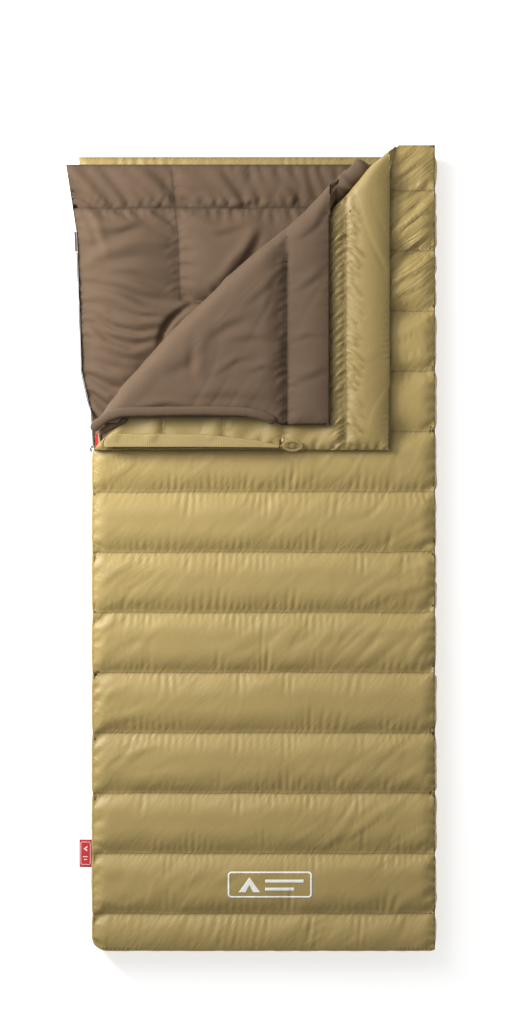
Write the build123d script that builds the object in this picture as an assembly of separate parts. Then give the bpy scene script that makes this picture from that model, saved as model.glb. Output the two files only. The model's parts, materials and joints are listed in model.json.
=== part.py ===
"""Two-layer rectangular camp quilt bag, lying flat with one corner folded open.

An outer quilted bag holds a thinner inner quilted bag. Each bag has a bottom quilt, a top quilt, a gusset
down its right side, and a zip that runs down its left side and along its foot. Each quilt is a shell fabric
tray, a fill and a lining fabric. The zips are open at the head, and the top left corners of both top quilts
are folded back over the bag along two diagonal creases.

Frame: millimetres, +Z up, +Y towards the head. The origin is the centre of the outer bag's underside.
"""
from build123d import *
import os

# ---- driving dimensions -------------------------------------------------------------------------------
WIDTH = 850.0            # outer bag, side to side
LENGTH = 2000.0          # outer bag, foot to head
OUTER_LOFT = 22.0        # thickness of one outer quilt
INNER_LOFT = 18.0        # thickness of one inner quilt
CAVITY = 12.0            # sleeping space between the inner bag's linings, as it lies empty
LAYER_GAP = 3.0          # between the outer lining and the inner shell, for the outer draft flap
FABRIC = 0.6             # shell and lining sheets
CLEAR = 0.6              # between the folded corner and the quilt that it lies on
FOOT_RADIUS = 35.0       # rounded foot corner that the zips run around
GUSSET = 15.0            # depth of the outer bag's side gusset
INNER_SIDE_INSET = 20.0  # inner bag's zip side, inside the outer bag's
INNER_FOOT_INSET = 15.0  # inner bag's foot, inside the outer bag's
INNER_GUSSET = 13.0
CREASE_CUT = 1.5         # each quilt stops this far short of its crease line

# The crease of each layer is the line y = x + offset.
OUTER_CREASE = 665.0
INNER_CREASE = 715.0
# Corner of each folded flap: its zip edge is its foot-side edge, and its head edge is its right edge.
OUTER_FLAP_CORNER = (312.0, 242.0)
INNER_FLAP_CORNER = (164.0, 304.0)

# Head edges, and how far the unzipped left edges spread out at the head.
OUTER_BOTTOM_HEAD = 975.0
OUTER_BOTTOM_SPREAD = 37.0
INNER_BOTTOM_HEAD = 955.0
INNER_BOTTOM_SPREAD = 89.0
INNER_SPREAD_KNEE = (-455.0, 450.0)   # the inner edge spreads out fast as far as here, then slowly
INNER_TOP_HEAD = 935.0

# ---- zips ---------------------------------------------------------------------------------------------
TAPE = 0.8               # thickness of a zip tape
TAPE_STANDOFF = 0.6      # from a quilt's edge to its tape
COIL_WIDTH = 3.0
COIL_NEAR = 0.8          # each coil lies this far from the middle of the chain, so the divider runs between
COIL_FAR = 3.0
TAPE_NEAR = 2.0          # the tape's free edge, from the middle of the chain
OUTER_TAPE_REACH = 38.0  # the tape's sewn edge, from the middle of the chain
INNER_TAPE_REACH = 18.0
OPEN_TAPE_LOW = 1.0      # unzipped tape hangs against its quilt's edge, from this far above its underside
OUTER_SLIDER_Y = 245.0
INNER_SLIDER_Y = 296.0
OUTER_ZIP_TOP = 705.0    # head end of each zip, with the corner closed
INNER_ZIP_TOP = 745.0
BEND_SKIP = 45.0         # stretch of tape lost in each crease
STOP_LENGTH = 4.0
STOP_PROUD = 0.5         # a stop is this much bigger than the coil it ends
CLOSED_END = 2.0         # the closed chain ends this far short of the crease
OPEN_START = 12.0        # the unzipped half starts this far past it
FOOT_ZIP_SHORT = 10.0    # each zip ends this far short of its quilts' right edge

# ---- heights, from the underside up -------------------------------------------------------------------
Z_INNER = OUTER_LOFT
Z_CAVITY = Z_INNER + INNER_LOFT
Z_INNER_TOP = Z_CAVITY + CAVITY
Z_OUTER_TOP = Z_INNER_TOP + INNER_LOFT + LAYER_GAP
Z_TOP = Z_OUTER_TOP + OUTER_LOFT
Z_HINGE = Z_TOP + CLEAR / 2
Z_CHAIN = Z_CAVITY + CAVITY / 2

# ---- plan positions -----------------------------------------------------------------------------------
LEFT = -WIDTH / 2
RIGHT = WIDTH / 2
FOOT = -LENGTH / 2
HEAD = LENGTH / 2
PANEL_RIGHT = RIGHT - GUSSET
INNER_LEFT = LEFT + INNER_SIDE_INSET
INNER_PANEL_RIGHT = PANEL_RIGHT - INNER_GUSSET - 2
INNER_FOOT = FOOT + INNER_FOOT_INSET
INNER_RADIUS = FOOT_RADIUS - INNER_FOOT_INSET
OUTER_OPEN_Y = LEFT + OUTER_CREASE       # where each crease meets its zip edge
INNER_OPEN_Y = INNER_LEFT + INNER_CREASE

# The bottom quilts' unzipped left edges, from the crease's end to the head.
OUTER_OPEN_EDGE = [(LEFT, OUTER_OPEN_Y), (LEFT - OUTER_BOTTOM_SPREAD, OUTER_BOTTOM_HEAD)]
INNER_OPEN_HEAD = (INNER_LEFT - INNER_BOTTOM_SPREAD, INNER_BOTTOM_HEAD)
INNER_OPEN_EDGE = [(INNER_LEFT, INNER_OPEN_Y), INNER_SPREAD_KNEE, INNER_OPEN_HEAD]

parts = {}


# ---- helpers ------------------------------------------------------------------------------------------
def face_of(points, foot_corner=None, radius=0.0):
    """A flat outline, with its foot-left corner rounded if a radius is given."""
    face = make_face(Polyline(*points, close=True))
    if radius:
        corner = face.vertices().sort_by_distance((*foot_corner, 0))[0]
        face = fillet(corner, radius)
    return face


def slab(face, low, high):
    return Pos(0, 0, low) * extrude(face, high - low)


def block(x, y, z):
    """A box from its (low, high) pairs."""
    size = [b - a for a, b in (x, y, z)]
    middle = [(a + b) / 2 for a, b in (x, y, z)]
    return Pos(*middle) * Box(*size)


def quilt(name, face, low, high, shell_up):
    """Shell tray, fill and lining of one quilt. The tray's rim wraps the fill, and the lining closes it."""
    inside = offset(face, -FABRIC, kind=Kind.INTERSECTION)
    if shell_up:
        hollow, lining = (low, high - FABRIC), (low, low + FABRIC)
        fill = (low + FABRIC, high - FABRIC)
    else:
        hollow, lining = (low + FABRIC, high), (high - FABRIC, high)
        fill = (low + FABRIC, high - FABRIC)
    parts[name + "_shell"] = slab(face, low, high) - slab(inside, *hollow)
    parts[name + "_fill"] = slab(inside, *fill)
    parts[name + "_lining"] = slab(inside, *lining)


def walk(line, distance):
    """The point that lies this far along a line of points."""
    for start, end in zip(line, line[1:]):
        step = Vector(*end) - Vector(*start)
        if distance <= step.length:
            break
        distance -= step.length
    spot = Vector(*start) + step.normalized() * distance
    return spot.X, spot.Y


def edge_strips(line, first, last, near, far, low, high):
    """Upright strips on the left of a line of points, between two distances along it."""
    lengths = [(Vector(*end) - Vector(*start)).length for start, end in zip(line, line[1:])]
    corners = [sum(lengths[:i]) for i in range(1, len(lengths))]
    stops = [first, *[c for c in corners if first < c < last], last]
    strips = []
    for begin, finish in zip(stops, stops[1:]):
        start, end = Vector(*walk(line, begin)), Vector(*walk(line, finish))
        along = (end - start).normalized()
        out = Vector(-along.Y, along.X)
        outline = [start + out * near, end + out * near, end + out * far, start + out * far]
        strips.append(slab(face_of([(c.X, c.Y) for c in outline]), low, high))
    return strips


def zip_runs(left, foot, radius, top, right, near, far, low, high):
    """A strip down the left side, round the foot corner and along the foot, as three solids end to end."""
    arc_x, arc_y = left + radius, foot + radius
    side = block((left - far, left - near), (arc_y, top), (low, high))
    along_foot = block((arc_x, right), (foot - far, foot - near), (low, high))
    ring = Circle(radius + far) - Circle(radius + near)
    quarter = ring & (Pos(-radius, -radius) * Rectangle(2 * radius, 2 * radius))
    corner = slab(Pos(arc_x, arc_y) * quarter, low, high)
    return [side, corner, along_foot]


def fold_up(y_closed, crease):
    """Where a place on the closed left edge lies along the folded flap."""
    return y_closed - crease


def mirrored(low, high):
    """A height range of the closed corner, as it is when the corner is folded over the hinge line."""
    return 2 * Z_HINGE - high, 2 * Z_HINGE - low


# ---- quilts -------------------------------------------------------------------------------------------
def crease_ends(crease, left, head):
    """The crease line's two ends on a top quilt, held CREASE_CUT back from it."""
    shift = crease - CREASE_CUT * 2 ** 0.5
    return (left, left + shift), (head - shift, head)


def make_quilts():
    outer_bottom = face_of(
        [
            (LEFT, FOOT),
            (PANEL_RIGHT, FOOT),
            (PANEL_RIGHT, OUTER_BOTTOM_HEAD),
            *reversed(OUTER_OPEN_EDGE),
        ],
        (LEFT, FOOT),
        FOOT_RADIUS,
    )
    inner_bottom = face_of(
        [
            (INNER_LEFT, INNER_FOOT),
            (INNER_PANEL_RIGHT, INNER_FOOT),
            (INNER_PANEL_RIGHT, INNER_BOTTOM_HEAD),
            *reversed(INNER_OPEN_EDGE),
        ],
        (INNER_LEFT, INNER_FOOT),
        INNER_RADIUS,
    )
    low_end, high_end = crease_ends(OUTER_CREASE, LEFT, HEAD)
    outer_top = face_of(
        [(LEFT, FOOT), (PANEL_RIGHT, FOOT), (PANEL_RIGHT, HEAD), high_end, low_end],
        (LEFT, FOOT),
        FOOT_RADIUS,
    )
    low_end, high_end = crease_ends(INNER_CREASE, INNER_LEFT, INNER_TOP_HEAD)
    inner_right = INNER_PANEL_RIGHT
    inner_top = face_of(
        [(INNER_LEFT, INNER_FOOT), (inner_right, INNER_FOOT), (inner_right, INNER_TOP_HEAD), high_end, low_end],
        (INNER_LEFT, INNER_FOOT),
        INNER_RADIUS,
    )
    quilt("outer_bottom", outer_bottom, 0, OUTER_LOFT, shell_up=False)
    quilt("inner_bottom", inner_bottom, Z_INNER, Z_CAVITY, shell_up=False)
    quilt("inner_top", inner_top, Z_INNER_TOP, Z_INNER_TOP + INNER_LOFT, shell_up=True)
    quilt("outer_top", outer_top, Z_OUTER_TOP, Z_TOP, shell_up=True)


def make_flaps():
    """The folded corners. Each lies shell down on what is under it, and its lining faces up."""
    layers = (
        ("outer_flap", OUTER_CREASE, OUTER_FLAP_CORNER, (Z_OUTER_TOP, Z_TOP)),
        ("inner_flap", INNER_CREASE, INNER_FLAP_CORNER, (Z_INNER_TOP, Z_INNER_TOP + INNER_LOFT)),
    )
    for name, crease, (right, front), closed in layers:
        shift = crease - CREASE_CUT * 2 ** 0.5
        face = face_of([(front - shift, front), (right, front), (right, right + shift)])
        quilt(name, face, *mirrored(*closed), shell_up=False)


def make_gussets():
    """Padded walls that join top and bottom down the right side, rounded outside."""
    sizes = (
        ("outer_side_gusset", PANEL_RIGHT, GUSSET, 0.0, Z_TOP, FOOT, OUTER_BOTTOM_HEAD),
        ("inner_side_gusset", INNER_PANEL_RIGHT, INNER_GUSSET, Z_INNER, Z_INNER_TOP + INNER_LOFT, INNER_FOOT,
         INNER_TOP_HEAD),
    )
    for name, x, depth, low, high, foot, head in sizes:
        wall = block((x, x + depth), (foot, head), (low, high))
        rims = wall.edges().filter_by(Axis.Y).group_by(Axis.X)[-1]
        parts[name] = fillet(rims, depth * 0.7)


# ---- zips ---------------------------------------------------------------------------------------------
def make_zip(bag, left, foot, radius, panel_right, crease, top, reach, panel, open_edge):
    """Both tapes and coils of one bag's closed zip, and the unzipped lower half above the slider.

    panel is the height range of the bottom quilt, and open_edge its unzipped left edge."""
    panel_low, panel_high = panel
    right = panel_right - FOOT_ZIP_SHORT
    near, far = TAPE_STANDOFF, TAPE_STANDOFF + TAPE
    coil_near, coil_far = (near + far - COIL_WIDTH) / 2, (near + far + COIL_WIDTH) / 2
    open_y = left + crease
    rule = (left, foot, radius, open_y - CLOSED_END, right)
    lower = zip_runs(*rule, near, far, Z_CHAIN - reach, Z_CHAIN - TAPE_NEAR - 1)
    upper = zip_runs(*rule, near, far, Z_CHAIN + TAPE_NEAR + 1, Z_CHAIN + reach)
    coil_lower = zip_runs(*rule, coil_near, coil_far, Z_CHAIN - COIL_FAR, Z_CHAIN - COIL_NEAR)
    coil_upper = zip_runs(*rule, coil_near, coil_far, Z_CHAIN + COIL_NEAR, Z_CHAIN + COIL_FAR)
    run = (OPEN_START, top - open_y)
    coil_low = (panel_low + panel_high) / 2
    coil_high = coil_low + COIL_FAR - COIL_NEAR
    outside = (far, far + COIL_WIDTH)
    lower += edge_strips(open_edge, *run, near, far, panel_low + OPEN_TAPE_LOW, panel_high - OPEN_TAPE_LOW)
    coil_lower += edge_strips(open_edge, *run, *outside, coil_low, coil_high)
    stop = (run[1], run[1] + STOP_LENGTH)
    stop_heights = (coil_low - STOP_PROUD, coil_high + STOP_PROUD)
    parts[bag + "_zip_tape_lower"] = Compound(children=lower)
    parts[bag + "_zip_tape_upper"] = Compound(children=upper)
    parts[bag + "_zip_coil_lower"] = Compound(children=coil_lower)
    parts[bag + "_zip_coil_upper"] = Compound(children=coil_upper)
    parts[bag + "_zip_top_stop"] = edge_strips(open_edge, *stop, *outside, *stop_heights)[0]
    parts[bag + "_zip_bottom_stop"] = block(
        (right, right + STOP_LENGTH),
        (foot - coil_far - STOP_PROUD, foot - coil_near + STOP_PROUD),
        (Z_CHAIN - COIL_FAR - STOP_PROUD, Z_CHAIN + COIL_FAR + STOP_PROUD),
    )


def make_flap_zip(bag, crease, front, top, reach):
    """The upper half of a zip where it goes with the folded corner, standing along its foot-side edge."""
    near, far = TAPE_STANDOFF, TAPE_STANDOFF + TAPE
    coil_near, coil_far = (near + far - COIL_WIDTH) / 2, (near + far + COIL_WIDTH) / 2
    start = fold_up(front + BEND_SKIP, crease)
    end = fold_up(top, crease)
    tape = mirrored(Z_CHAIN + TAPE_NEAR + 1, Z_CHAIN + reach)
    coil = mirrored(Z_CHAIN + COIL_NEAR, Z_CHAIN + COIL_FAR)
    parts[bag + "_flap_zip_tape"] = block((start, end), (front - far, front - near), tape)
    parts[bag + "_flap_zip_coil"] = block((start, end), (front - coil_far, front - coil_near), coil)
    parts[bag + "_flap_top_stop"] = block(
        (end, end + STOP_LENGTH),
        (front - coil_far, front - coil_near),
        (coil[0] - STOP_PROUD, coil[1] + STOP_PROUD),
    )


# ---- draft flap and draft tube -------------------------------------------------------------------------
DRAFT_FLAP_THICK = 2.4
DRAFT_FLAP_NEAR, DRAFT_FLAP_FAR = 14.0, 50.0   # from the outer bag's zip edge
DRAFT_TUBE_NEAR, DRAFT_TUBE_FAR = 25.0, 49.0   # from the inner bag's zip edge
DRAFT_TUBE_THICK = 10.0
TUBE_END_GAP = 4.0


def make_drafts():
    """The flat flap behind the outer zip and the padded tube behind the inner zip, each in two lengths."""
    low, high = Z_OUTER_TOP - DRAFT_FLAP_THICK, Z_OUTER_TOP
    x = (LEFT + DRAFT_FLAP_NEAR, LEFT + DRAFT_FLAP_FAR)
    end_y = LEFT + DRAFT_FLAP_NEAR + OUTER_CREASE - 2 * CREASE_CUT
    parts["outer_draft_flap"] = block(x, (FOOT + FOOT_RADIUS, end_y), (low, high))
    front = OUTER_FLAP_CORNER[1]
    y = (front + 5, front + 5 + DRAFT_FLAP_FAR - DRAFT_FLAP_NEAR)
    start, end = y[1] - OUTER_CREASE + 3, fold_up(OUTER_ZIP_TOP, OUTER_CREASE)
    parts["outer_flap_draft_flap"] = block((start, end), y, mirrored(low, high))

    tube_half = (DRAFT_TUBE_FAR - DRAFT_TUBE_NEAR) / 2
    section = Ellipse(tube_half, DRAFT_TUBE_THICK / 2)
    middle = INNER_LEFT + DRAFT_TUBE_NEAR + tube_half
    foot, head = INNER_FOOT + INNER_RADIUS, middle + INNER_CREASE - tube_half - TUBE_END_GAP
    z = Z_INNER_TOP - DRAFT_TUBE_THICK / 2
    tube = extrude(Plane(origin=(middle, head, z), x_dir=(1, 0, 0), z_dir=(0, -1, 0)) * section, head - foot)
    parts["inner_draft_tube"] = tube
    start = middle + tube_half + TUBE_END_GAP
    end = fold_up(INNER_ZIP_TOP, INNER_CREASE)
    y = middle + INNER_CREASE
    plane = Plane(origin=(start, y, 2 * Z_HINGE - z), x_dir=(0, 1, 0), z_dir=(1, 0, 0))
    parts["inner_flap_draft_tube"] = extrude(plane * section, end - start)


# ---- sliders and pulls ---------------------------------------------------------------------------------
PLATE = 1.2              # thickness of a slider's plates
CHANNEL = 8.0            # between its plates
SLIDER_LENGTH = 16.0
PIN_RADIUS = 0.92
EYE_RADIUS = 1.0
BRIDGE_HEIGHT = 3.4
BRIDGE_WIDTH = 3.0
PIN_OFFSET = 1.7         # from the plate's outer face to the pull's pin
POST_RADIUS = 1.2
POST_LENGTH = 7.6


def slider_body(head_half, foot_half):
    """A zip slider on the Y axis: two plates across X, a divider between the coils and side flanges."""
    half = SLIDER_LENGTH / 2
    outline = [
        (-half, -foot_half),
        (half * 0.1, -foot_half),
        (half * 0.6, -head_half),
        (half, -head_half),
        (half, head_half),
        (half * 0.6, head_half),
        (half * 0.1, foot_half),
        (-half, foot_half),
    ]
    plate = extrude(Plane.YZ * make_face(Polyline(*outline, close=True)), PLATE)
    plate = fillet(plate.edges().filter_by(Axis.X), 0.8)
    inner_x = CHANNEL / 2
    body = Pos(inner_x, 0, 0) * plate + Pos(-inner_x - PLATE, 0, 0) * plate
    body += block((-inner_x, inner_x), (half * 0.35, half * 0.9), (-0.5, 0.5))
    for side in (-1, 1):
        for end in (-1, 1):
            x = sorted((side * inner_x, side * (TAPE / 2 + 0.8)))
            z = sorted((end * (foot_half - 0.8), end * foot_half))
            body += block(x, (-half + 1, half * 0.1), z)
    return body


def bridge(side):
    """The arch that holds a pull's pin, on the plate at +X or -X."""
    face = side * (CHANNEL / 2 + PLATE)
    arch = block(sorted((face, face + side * BRIDGE_HEIGHT)), (-4, 4), (-BRIDGE_WIDTH / 2, BRIDGE_WIDTH / 2))
    arch = fillet(arch.edges().filter_by(Axis.Z).sort_by(Axis.X)[-2:] if side > 0 else
                  arch.edges().filter_by(Axis.Z).sort_by(Axis.X)[:2], 1.4)
    return arch - Pos(face + side * PIN_OFFSET, 0, 0) * Cylinder(EYE_RADIUS, BRIDGE_WIDTH * 2)


def fork_pull(length, width, thick, point):
    """A metal pull on a pin along Z at the origin, pointing along +Y or -Y."""
    arm_z = BRIDGE_WIDTH / 2 + 0.5
    pull = Cylinder(PIN_RADIUS, 2 * (arm_z + 1.5))
    for end in (-1, 1):
        z = sorted((end * arm_z, end * (arm_z + 1.5)))
        pull += block((-thick / 2, thick / 2), (-PIN_RADIUS, 6.5), z)
    blade = block((-thick / 2, thick / 2), (6, length), (-width / 2, width / 2))
    blade = fillet(blade.edges().filter_by(Axis.X).group_by(Axis.Y)[-1], width * 0.3)
    pull += blade
    return pull if point > 0 else Rot(0, 0, 180) * pull


def post_pull(length, width, thick):
    """A moulded pull whose eye turns on a post along X at the origin, pointing along +Y."""
    eye_width = 5.0
    eye = Rot(0, 90, 0) * Cylinder(3.4, eye_width)
    neck = block((-eye_width / 2, eye_width / 2), (1.5, 8), (-thick / 2, thick / 2))
    blade = block((-width / 2, width / 2), (6.5, length), (-thick / 2, thick / 2))
    blade = fillet(blade.edges().filter_by(Axis.Z), 2.0)
    return eye + neck + blade - Rot(0, 90, 0) * Cylinder(POST_RADIUS + 0.08, eye_width * 2)


def make_sliders():
    tape_middle = TAPE_STANDOFF + TAPE / 2
    outer = Pos(LEFT - tape_middle, OUTER_SLIDER_Y, Z_CHAIN)
    inner = Pos(INNER_LEFT - tape_middle, INNER_SLIDER_Y, Z_CHAIN)
    plate_face = CHANNEL / 2 + PLATE
    pin = plate_face + PIN_OFFSET
    post = Pos(plate_face + POST_LENGTH / 2, 3, 0) * Rot(0, 90, 0) * Cylinder(POST_RADIUS, POST_LENGTH)
    head = Pos(plate_face + POST_LENGTH + 0.4, 3, 0) * Rot(0, 90, 0) * Cylinder(2.3, 0.8)
    parts["outer_slider_body"] = outer * (slider_body(6.8, 4.6) + bridge(-1) + post + head)
    parts["outer_pull_outside"] = outer * Pos(-pin, 0, 0) * fork_pull(24, 9, 1.6, point=-1)
    parts["outer_pull_inside"] = outer * Pos(plate_face + POST_LENGTH / 2, 3, 0) * post_pull(36, 7, 3)
    parts["inner_slider_body"] = inner * (slider_body(5.2, 4.4) + bridge(1))
    parts["inner_pull"] = inner * Pos(pin, 0, 0) * fork_pull(17, 6.6, 1.6, point=1)


# ---- trim ----------------------------------------------------------------------------------------------
LABEL_Y = (-796.0, -727.0)
LABEL_OUT = 33.0
LABEL_HEIGHT = 60.0
LABEL_THICK = 0.9
MARK_CENTRE = (15.0, -838.0)
MARK_SIZE = (210.0, 66.0)
MARK_LINE = 5.0
MARK_THICK = 0.3
LOOP_CENTRE = (73.0, 252.0)
LOOP_SIZE = (52.0, 30.0)
LOOP_HOLE = (38.0, 16.0)
LOOP_THICK = 2.0
END_TAB_LENGTH = 50.0
END_TAB_OUT = 6.0
END_TAB_MARGIN = 3.0


def make_trim():
    label_x = (LEFT - TAPE_STANDOFF - TAPE - LABEL_OUT, LEFT - TAPE_STANDOFF - TAPE)
    parts["side_label"] = block(label_x, LABEL_Y, (LABEL_HEIGHT, LABEL_HEIGHT + LABEL_THICK))

    # Printed frame around a plain tent outline and two bars, with no lettering.
    width, height = MARK_SIZE
    frame = RectangleRounded(width, height, 10)
    frame -= RectangleRounded(width - 2 * MARK_LINE, height - 2 * MARK_LINE, 10 - MARK_LINE)
    tent = make_face(Polyline((-80, -18), (-22, -18), (-51, 20), close=True))
    tent -= make_face(Polyline((-61, -18), (-41, -18), (-51, 0), close=True))
    bars = Pos(36, 9) * Rectangle(96, 8) + Pos(24, -11) * Rectangle(72, 8)
    mark = Pos(*MARK_CENTRE) * (frame + tent + bars)
    parts["printed_mark"] = slab(mark, Z_TOP, Z_TOP + MARK_THICK)

    lining_top = mirrored(Z_OUTER_TOP, Z_TOP)[1]
    ring = Ellipse(LOOP_SIZE[0] / 2, LOOP_SIZE[1] / 2) - Ellipse(LOOP_HOLE[0] / 2, LOOP_HOLE[1] / 2)
    loop_low = lining_top + 0.2
    parts["outer_flap_pull_loop"] = slab(Pos(*LOOP_CENTRE) * ring, loop_low, loop_low + LOOP_THICK)

    tab_start = INNER_ZIP_TOP - INNER_OPEN_Y + STOP_LENGTH
    tab_ends = (tab_start, tab_start + END_TAB_LENGTH)
    parts["inner_zip_end_tab"] = edge_strips(
        INNER_OPEN_EDGE,
        *tab_ends,
        TAPE_STANDOFF,
        END_TAB_OUT,
        Z_INNER + END_TAB_MARGIN,
        Z_CAVITY - END_TAB_MARGIN,
    )[0]


make_quilts()
make_flaps()
make_gussets()
make_zip("outer", LEFT, FOOT, FOOT_RADIUS, PANEL_RIGHT, OUTER_CREASE, OUTER_ZIP_TOP, OUTER_TAPE_REACH,
         (0.0, Z_INNER), OUTER_OPEN_EDGE)
make_zip("inner", INNER_LEFT, INNER_FOOT, INNER_RADIUS, INNER_PANEL_RIGHT, INNER_CREASE, INNER_ZIP_TOP,
         INNER_TAPE_REACH, (Z_INNER, Z_CAVITY), INNER_OPEN_EDGE)
make_flap_zip("outer", OUTER_CREASE, OUTER_FLAP_CORNER[1], OUTER_ZIP_TOP, OUTER_TAPE_REACH)
make_flap_zip("inner", INNER_CREASE, INNER_FLAP_CORNER[1], INNER_ZIP_TOP, INNER_TAPE_REACH)
make_drafts()
make_sliders()
make_trim()

os.makedirs("parts", exist_ok=True)
for name, shape in parts.items():
    export_step(shape, f"parts/{name}.step")
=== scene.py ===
"""Looks of the two-layer camp quilt bag: quilted cloth, zips, labels, studio floor and light."""
import json
import math

import bmesh
import bpy
import numpy as np
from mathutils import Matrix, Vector


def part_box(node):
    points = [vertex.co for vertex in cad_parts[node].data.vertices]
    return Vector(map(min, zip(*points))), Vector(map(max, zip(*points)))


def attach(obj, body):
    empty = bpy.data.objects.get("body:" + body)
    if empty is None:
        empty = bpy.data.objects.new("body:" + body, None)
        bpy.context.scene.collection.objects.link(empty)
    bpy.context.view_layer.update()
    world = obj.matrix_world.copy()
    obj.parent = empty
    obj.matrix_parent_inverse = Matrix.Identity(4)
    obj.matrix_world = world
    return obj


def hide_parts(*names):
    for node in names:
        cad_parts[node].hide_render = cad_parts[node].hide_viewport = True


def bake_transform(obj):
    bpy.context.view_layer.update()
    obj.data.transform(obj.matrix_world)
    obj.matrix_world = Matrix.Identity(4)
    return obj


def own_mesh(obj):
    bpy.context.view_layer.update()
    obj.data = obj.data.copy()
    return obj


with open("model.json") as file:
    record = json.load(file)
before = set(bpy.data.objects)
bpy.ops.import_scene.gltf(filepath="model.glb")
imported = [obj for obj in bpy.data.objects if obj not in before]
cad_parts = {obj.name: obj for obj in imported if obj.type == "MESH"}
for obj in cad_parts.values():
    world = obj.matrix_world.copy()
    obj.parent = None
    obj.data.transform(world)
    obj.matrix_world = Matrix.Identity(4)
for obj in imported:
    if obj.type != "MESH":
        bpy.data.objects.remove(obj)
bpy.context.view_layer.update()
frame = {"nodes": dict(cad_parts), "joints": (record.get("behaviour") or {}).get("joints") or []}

# ---- sizes read from the frame, in metres ----
top_low, top_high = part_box("outer_top_shell")
LEFT, FOOT, HEAD = top_low.x, top_low.y, top_high.y
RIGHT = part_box("outer_side_gusset")[1].x
SEAM_PITCH = 0.150
HEM = 0.112
joints = {j["name"]: j for j in frame["joints"]}


def crease_of(name):
    """The crease line y = x + c of a fold joint, and its height."""
    x, y, z = joints[name]["pos_m"]
    return y - x, z


OUTER_C, HINGE_Z = crease_of("outer_corner_fold")
INNER_C, _ = crease_of("inner_corner_fold")


# ---- cloth solver ----
def smooth_noise(shape, spacing, wavelength, seed):
    """Smooth repeatable noise on a grid, about -1 to 1, with features of about the given wavelength."""
    rng = np.random.default_rng(seed)
    wx, wy = (wavelength, wavelength) if np.isscalar(wavelength) else wavelength
    ny, nx = shape
    gy, gx = max(2, int(ny * spacing / wy) + 3), max(2, int(nx * spacing / wx) + 3)
    coarse = rng.uniform(-1, 1, (gy, gx))
    v = np.linspace(0, gy - 1.001, ny)
    u = np.linspace(0, gx - 1.001, nx)
    j, i = v.astype(int), u.astype(int)
    fv, fu = v - j, u - i
    fv, fu = fv * fv * (3 - 2 * fv), fu * fu * (3 - 2 * fu)
    low = coarse[j][:, i] * (1 - fu) + coarse[j][:, i + 1] * fu
    high = coarse[j + 1][:, i] * (1 - fu) + coarse[j + 1][:, i + 1] * fu
    return low * (1 - fv)[:, None] + high * fv[:, None]


def noise_at(u, v, seed):
    """Smooth repeatable noise at any places, about -1 to 1, with features one unit apart."""
    table = np.random.default_rng(seed).uniform(-1, 1, (64, 64))
    i, j = np.floor(u).astype(int), np.floor(v).astype(int)
    fu, fv = u - i, v - j
    fu, fv = fu * fu * (3 - 2 * fu), fv * fv * (3 - 2 * fv)
    low = table[j % 64, i % 64] * (1 - fu) + table[j % 64, (i + 1) % 64] * fu
    high = table[(j + 1) % 64, i % 64] * (1 - fu) + table[(j + 1) % 64, (i + 1) % 64] * fu
    return low * (1 - fv) + high * fv


def pull_pairs(a, b, wa, wb, rest, stiffness):
    """Moves two sets of points towards their rest distance."""
    gap = b - a
    length = np.sqrt((gap * gap).sum(-1)) + 1e-9
    share = stiffness * (length - rest) / (length * (wa + wb + 1e-9))
    gap *= share[..., None]
    a += gap * wa[..., None]
    b -= gap * wb[..., None]


def relax(P, rest_u, rest_v, free, push, steps, rounds=4, bend=0.02, skew=0.0, shear=0.35, floor=None, ceiling=None):
    """Cloth on a grid: keeps its lengths along and across, resists bending, and is blown out by its filling.

    free is 0 where the cloth is sewn down and 1 elsewhere. skew pulls it tight along one diagonal, so that it
    creases along that diagonal."""
    P = P.astype(np.float32).copy()
    W = free.astype(np.float32)
    V = np.zeros_like(P)
    rest_u, rest_v = rest_u.astype(np.float32), rest_v.astype(np.float32)
    diagonal = np.sqrt(rest_u[:-1] ** 2 + rest_v[:, :-1] ** 2)
    rising, falling = diagonal * (1 - skew), diagonal * (1 + skew)
    for _ in range(steps):
        N = np.cross(np.gradient(P, axis=1), np.gradient(P, axis=0))
        N /= np.sqrt((N * N).sum(-1, keepdims=True)) + 1e-12
        old = P.copy()
        P += (V * 0.9 + N * push[..., None]) * W[..., None]
        for _ in range(rounds):
            for s in (0, 1):
                n = (P.shape[1] - s) // 2 * 2 + s
                m = (P.shape[0] - s) // 2 * 2 + s
                pull_pairs(P[:, s:n:2], P[:, s + 1:n:2], W[:, s:n:2], W[:, s + 1:n:2], rest_u[:, s:n - 1:2], 1.0)
                pull_pairs(P[s:m:2], P[s + 1:m:2], W[s:m:2], W[s + 1:m:2], rest_v[s:m - 1:2], 1.0)
                low, high = slice(s, m, 2), slice(s + 1, m, 2)
                rise, fall = rising[s:m - 1:2], falling[s:m - 1:2]
                pull_pairs(P[low, :-1], P[high, 1:], W[low, :-1], W[high, 1:], rise, shear)
                pull_pairs(P[low, 1:], P[high, :-1], W[low, 1:], W[high, :-1], fall, shear)
        L = np.zeros_like(P)
        L[1:-1, 1:-1] = P[:-2, 1:-1] + P[2:, 1:-1] + P[1:-1, :-2] + P[1:-1, 2:] - 4 * P[1:-1, 1:-1]
        B = np.zeros_like(P)
        B[1:-1, 1:-1] = L[:-2, 1:-1] + L[2:, 1:-1] + L[1:-1, :-2] + L[1:-1, 2:] - 4 * L[1:-1, 1:-1]
        P -= bend * B * W[..., None]
        if floor is not None:
            P[..., 2] = np.maximum(P[..., 2], floor)
        if ceiling is not None:
            P[..., 2] = np.minimum(P[..., 2], ceiling)
        V = P - old
    return P


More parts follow.
